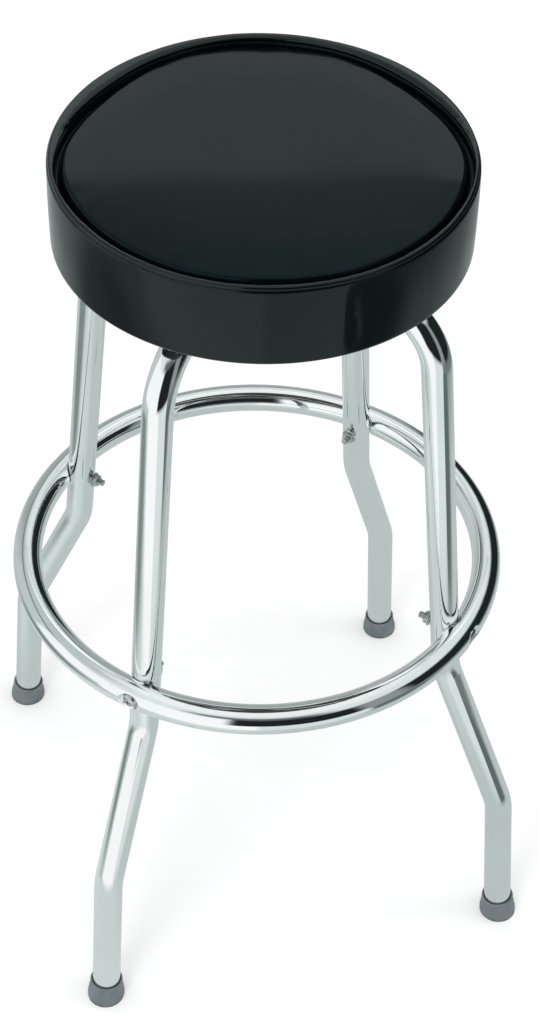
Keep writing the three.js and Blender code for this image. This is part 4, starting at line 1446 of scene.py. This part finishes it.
def add_floor():
    """A pale floor that fades to white far off, glows with painted light and shade in the metal and is clear
    from below.
    """
    material, tree, shader = new_material(
        "pale_floor", Roughness=0.9, Specular_IOR_Level=0.0, Base_Color=(0.94, 0.94, 0.94, 1))
    path = add_node(tree, "ShaderNodeLightPath").outputs
    place = surface_value(tree, "Position")
    lift = emission(tree, (1, 1, 1), 0.14)
    brighter = add_node(tree, "ShaderNodeAddShader", {0: shader.outputs[0], 1: lift}).outputs[0]
    fading = spread(tree, vector_math(tree, "LENGTH", place), *floor_fade)
    by_camera = either(tree, fading, brighter, emission(tree, (1, 1, 1)))
    seen = either(tree, path["Is Camera Ray"], shader.outputs[0], by_camera)
    # glossy rays see the floor as a glow of painted light and shade
    seen = either(tree, path["Is Glossy Ray"], seen, emission(tree, floor_painted_light_in_metal(tree, place)))
    from_below = times(tree, path["Is Camera Ray"], surface_value(tree, "Backfacing"))
    seen = either(tree, from_below, seen, add_node(tree, "ShaderNodeBsdfTransparent").outputs[0])
    corners = [(x * floor_reach, y * floor_reach, 0) for x, y in ((-1, -1), (1, -1), (1, 1), (-1, 1))]
    floor = staged_sheet("floor", corners, material, tree, seen)


def add_world():
    """White to the camera, plain light to the object, and a studio's walls and ceiling to gloss."""
    world = bpy.data.worlds.new("studio")
    scene.world = world
    world.use_nodes = True
    world.cycles.sampling_method = "NONE"
    tree = world.node_tree
    direction = add_node(tree, "ShaderNodeTexCoord").outputs["Generated"]
    height = z_of(tree, direction)
    walls = use_group(tree, studio_walls, Direction=direction)["Color"]
    edge = times(tree, spread(tree, height, 0.5, 0.55), spread(tree, height, 0.6, 0.65, 1.0, 0.0))
    dark_edge = times(tree, edge, towards(tree, direction, 105, 42, 55))
    walls = blended(tree, dark_edge, walls, (0.07, 0.09, 0.085))
    ceiling = blended(tree, towards(tree, direction, 130, 25, 55), (0.76, 0.82, 0.81), (0.53, 0.59, 0.58))
    below = spread(tree, height, 0.7, 0.85, 1.0, 0.0)
    front_gap = times(tree, towards(tree, direction, -104, 18, 42), below)
    ceiling = blended(tree, front_gap, ceiling, (0.13, 0.15, 0.145))
    ceiling = blended(tree, spread(tree, height, 0.84, 0.94), ceiling, (0.9, 0.94, 0.94))
    sky = blended(tree, spread(tree, height, 0.5, 0.67), walls, ceiling)
    path = add_node(tree, "ShaderNodeLightPath").outputs
    seen = blended(tree, path["Is Glossy Ray"], (0.85, 0.85, 0.85), sky)
    seen = blended(tree, path["Is Camera Ray"], seen, (1, 1, 1))
    background = tree.nodes["Background"]
    tree.links.new(seen, background.inputs["Color"])
    background.inputs["Strength"].default_value = 1.0


def add_painted_reflection_board():
    """A glowing board standing behind the stool, a painted reflection which only the gloss of the seat
    shows.
    """
    away = polar(board_distance, board_bearing)
    along = polar(board_half_width, board_bearing + math.tau / 4)
    tops = ((-1, board_low), (1, board_low), (1, board_right_top), (-1, board_left_top))
    corners = [away + along * side + Vector((0, 0, height)) for side, height in tops]
    material, tree, _ = new_material("pale_board", Roughness=1.0)
    # the glow brightens towards the top: a painted gradient of reflected light
    tone = add_node(tree, "ShaderNodeMapRange", {
        "Value": z_of(tree, surface_value(tree, "Position")),
        "From Min": board_low, "From Max": board_high, "To Min": 0.64, "To Max": 1.42,
    }).outputs["Result"]
    glow = emission(tree, (0.92, 0.97, 1.0), tone)
    board = staged_sheet("reflector_board", corners, material, tree, glow)
    board.visible_camera = False
    board.visible_diffuse = False
    board.visible_shadow = False


def add_lamp(name, place, size, power):
    """A round lamp aimed at the stool, which gloss doesn't show."""
    lamp = bpy.data.lights.new(name, "AREA")
    lamp.shape = "DISK"
    lamp.size = size
    lamp.energy = power
    holder = put_in_scene(name, lamp)
    holder.location = place
    holder.rotation_euler = (aim - Vector(place)).to_track_quat("-Z", "Y").to_euler()
    holder.visible_glossy = False


place_camera()
scene.view_settings.view_transform = "Standard"
add_floor()
add_world()
add_painted_reflection_board()
add_lamp("key_lamp", (-1.6, -1.8, 2.6), 1.2, 22)
add_lamp("fill_lamp", (2.2, -0.6, 2.2), 1.4, 9)

for corner, bearing in leg_bearings.items():
    add_leg(corner, bearing)
    add_rubber_foot(corner, bearing)
add_foot_ring()
add_swivel_plates()
add_kingpin()
add_bearing_balls()
add_leg_bolts()
add_seat_screws()
add_ring_bolts()
add_top_panel()
add_side_band()
add_bead()
add_foam()
add_staples()

finishes = {"seat_board": plywood, "ball_cage": brass, **dict.fromkeys(at_corners("foot_glide_disc"), zinc)}
for node, material in finishes.items():
    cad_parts[node].data.materials.clear()
    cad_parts[node].data.materials.append(material)
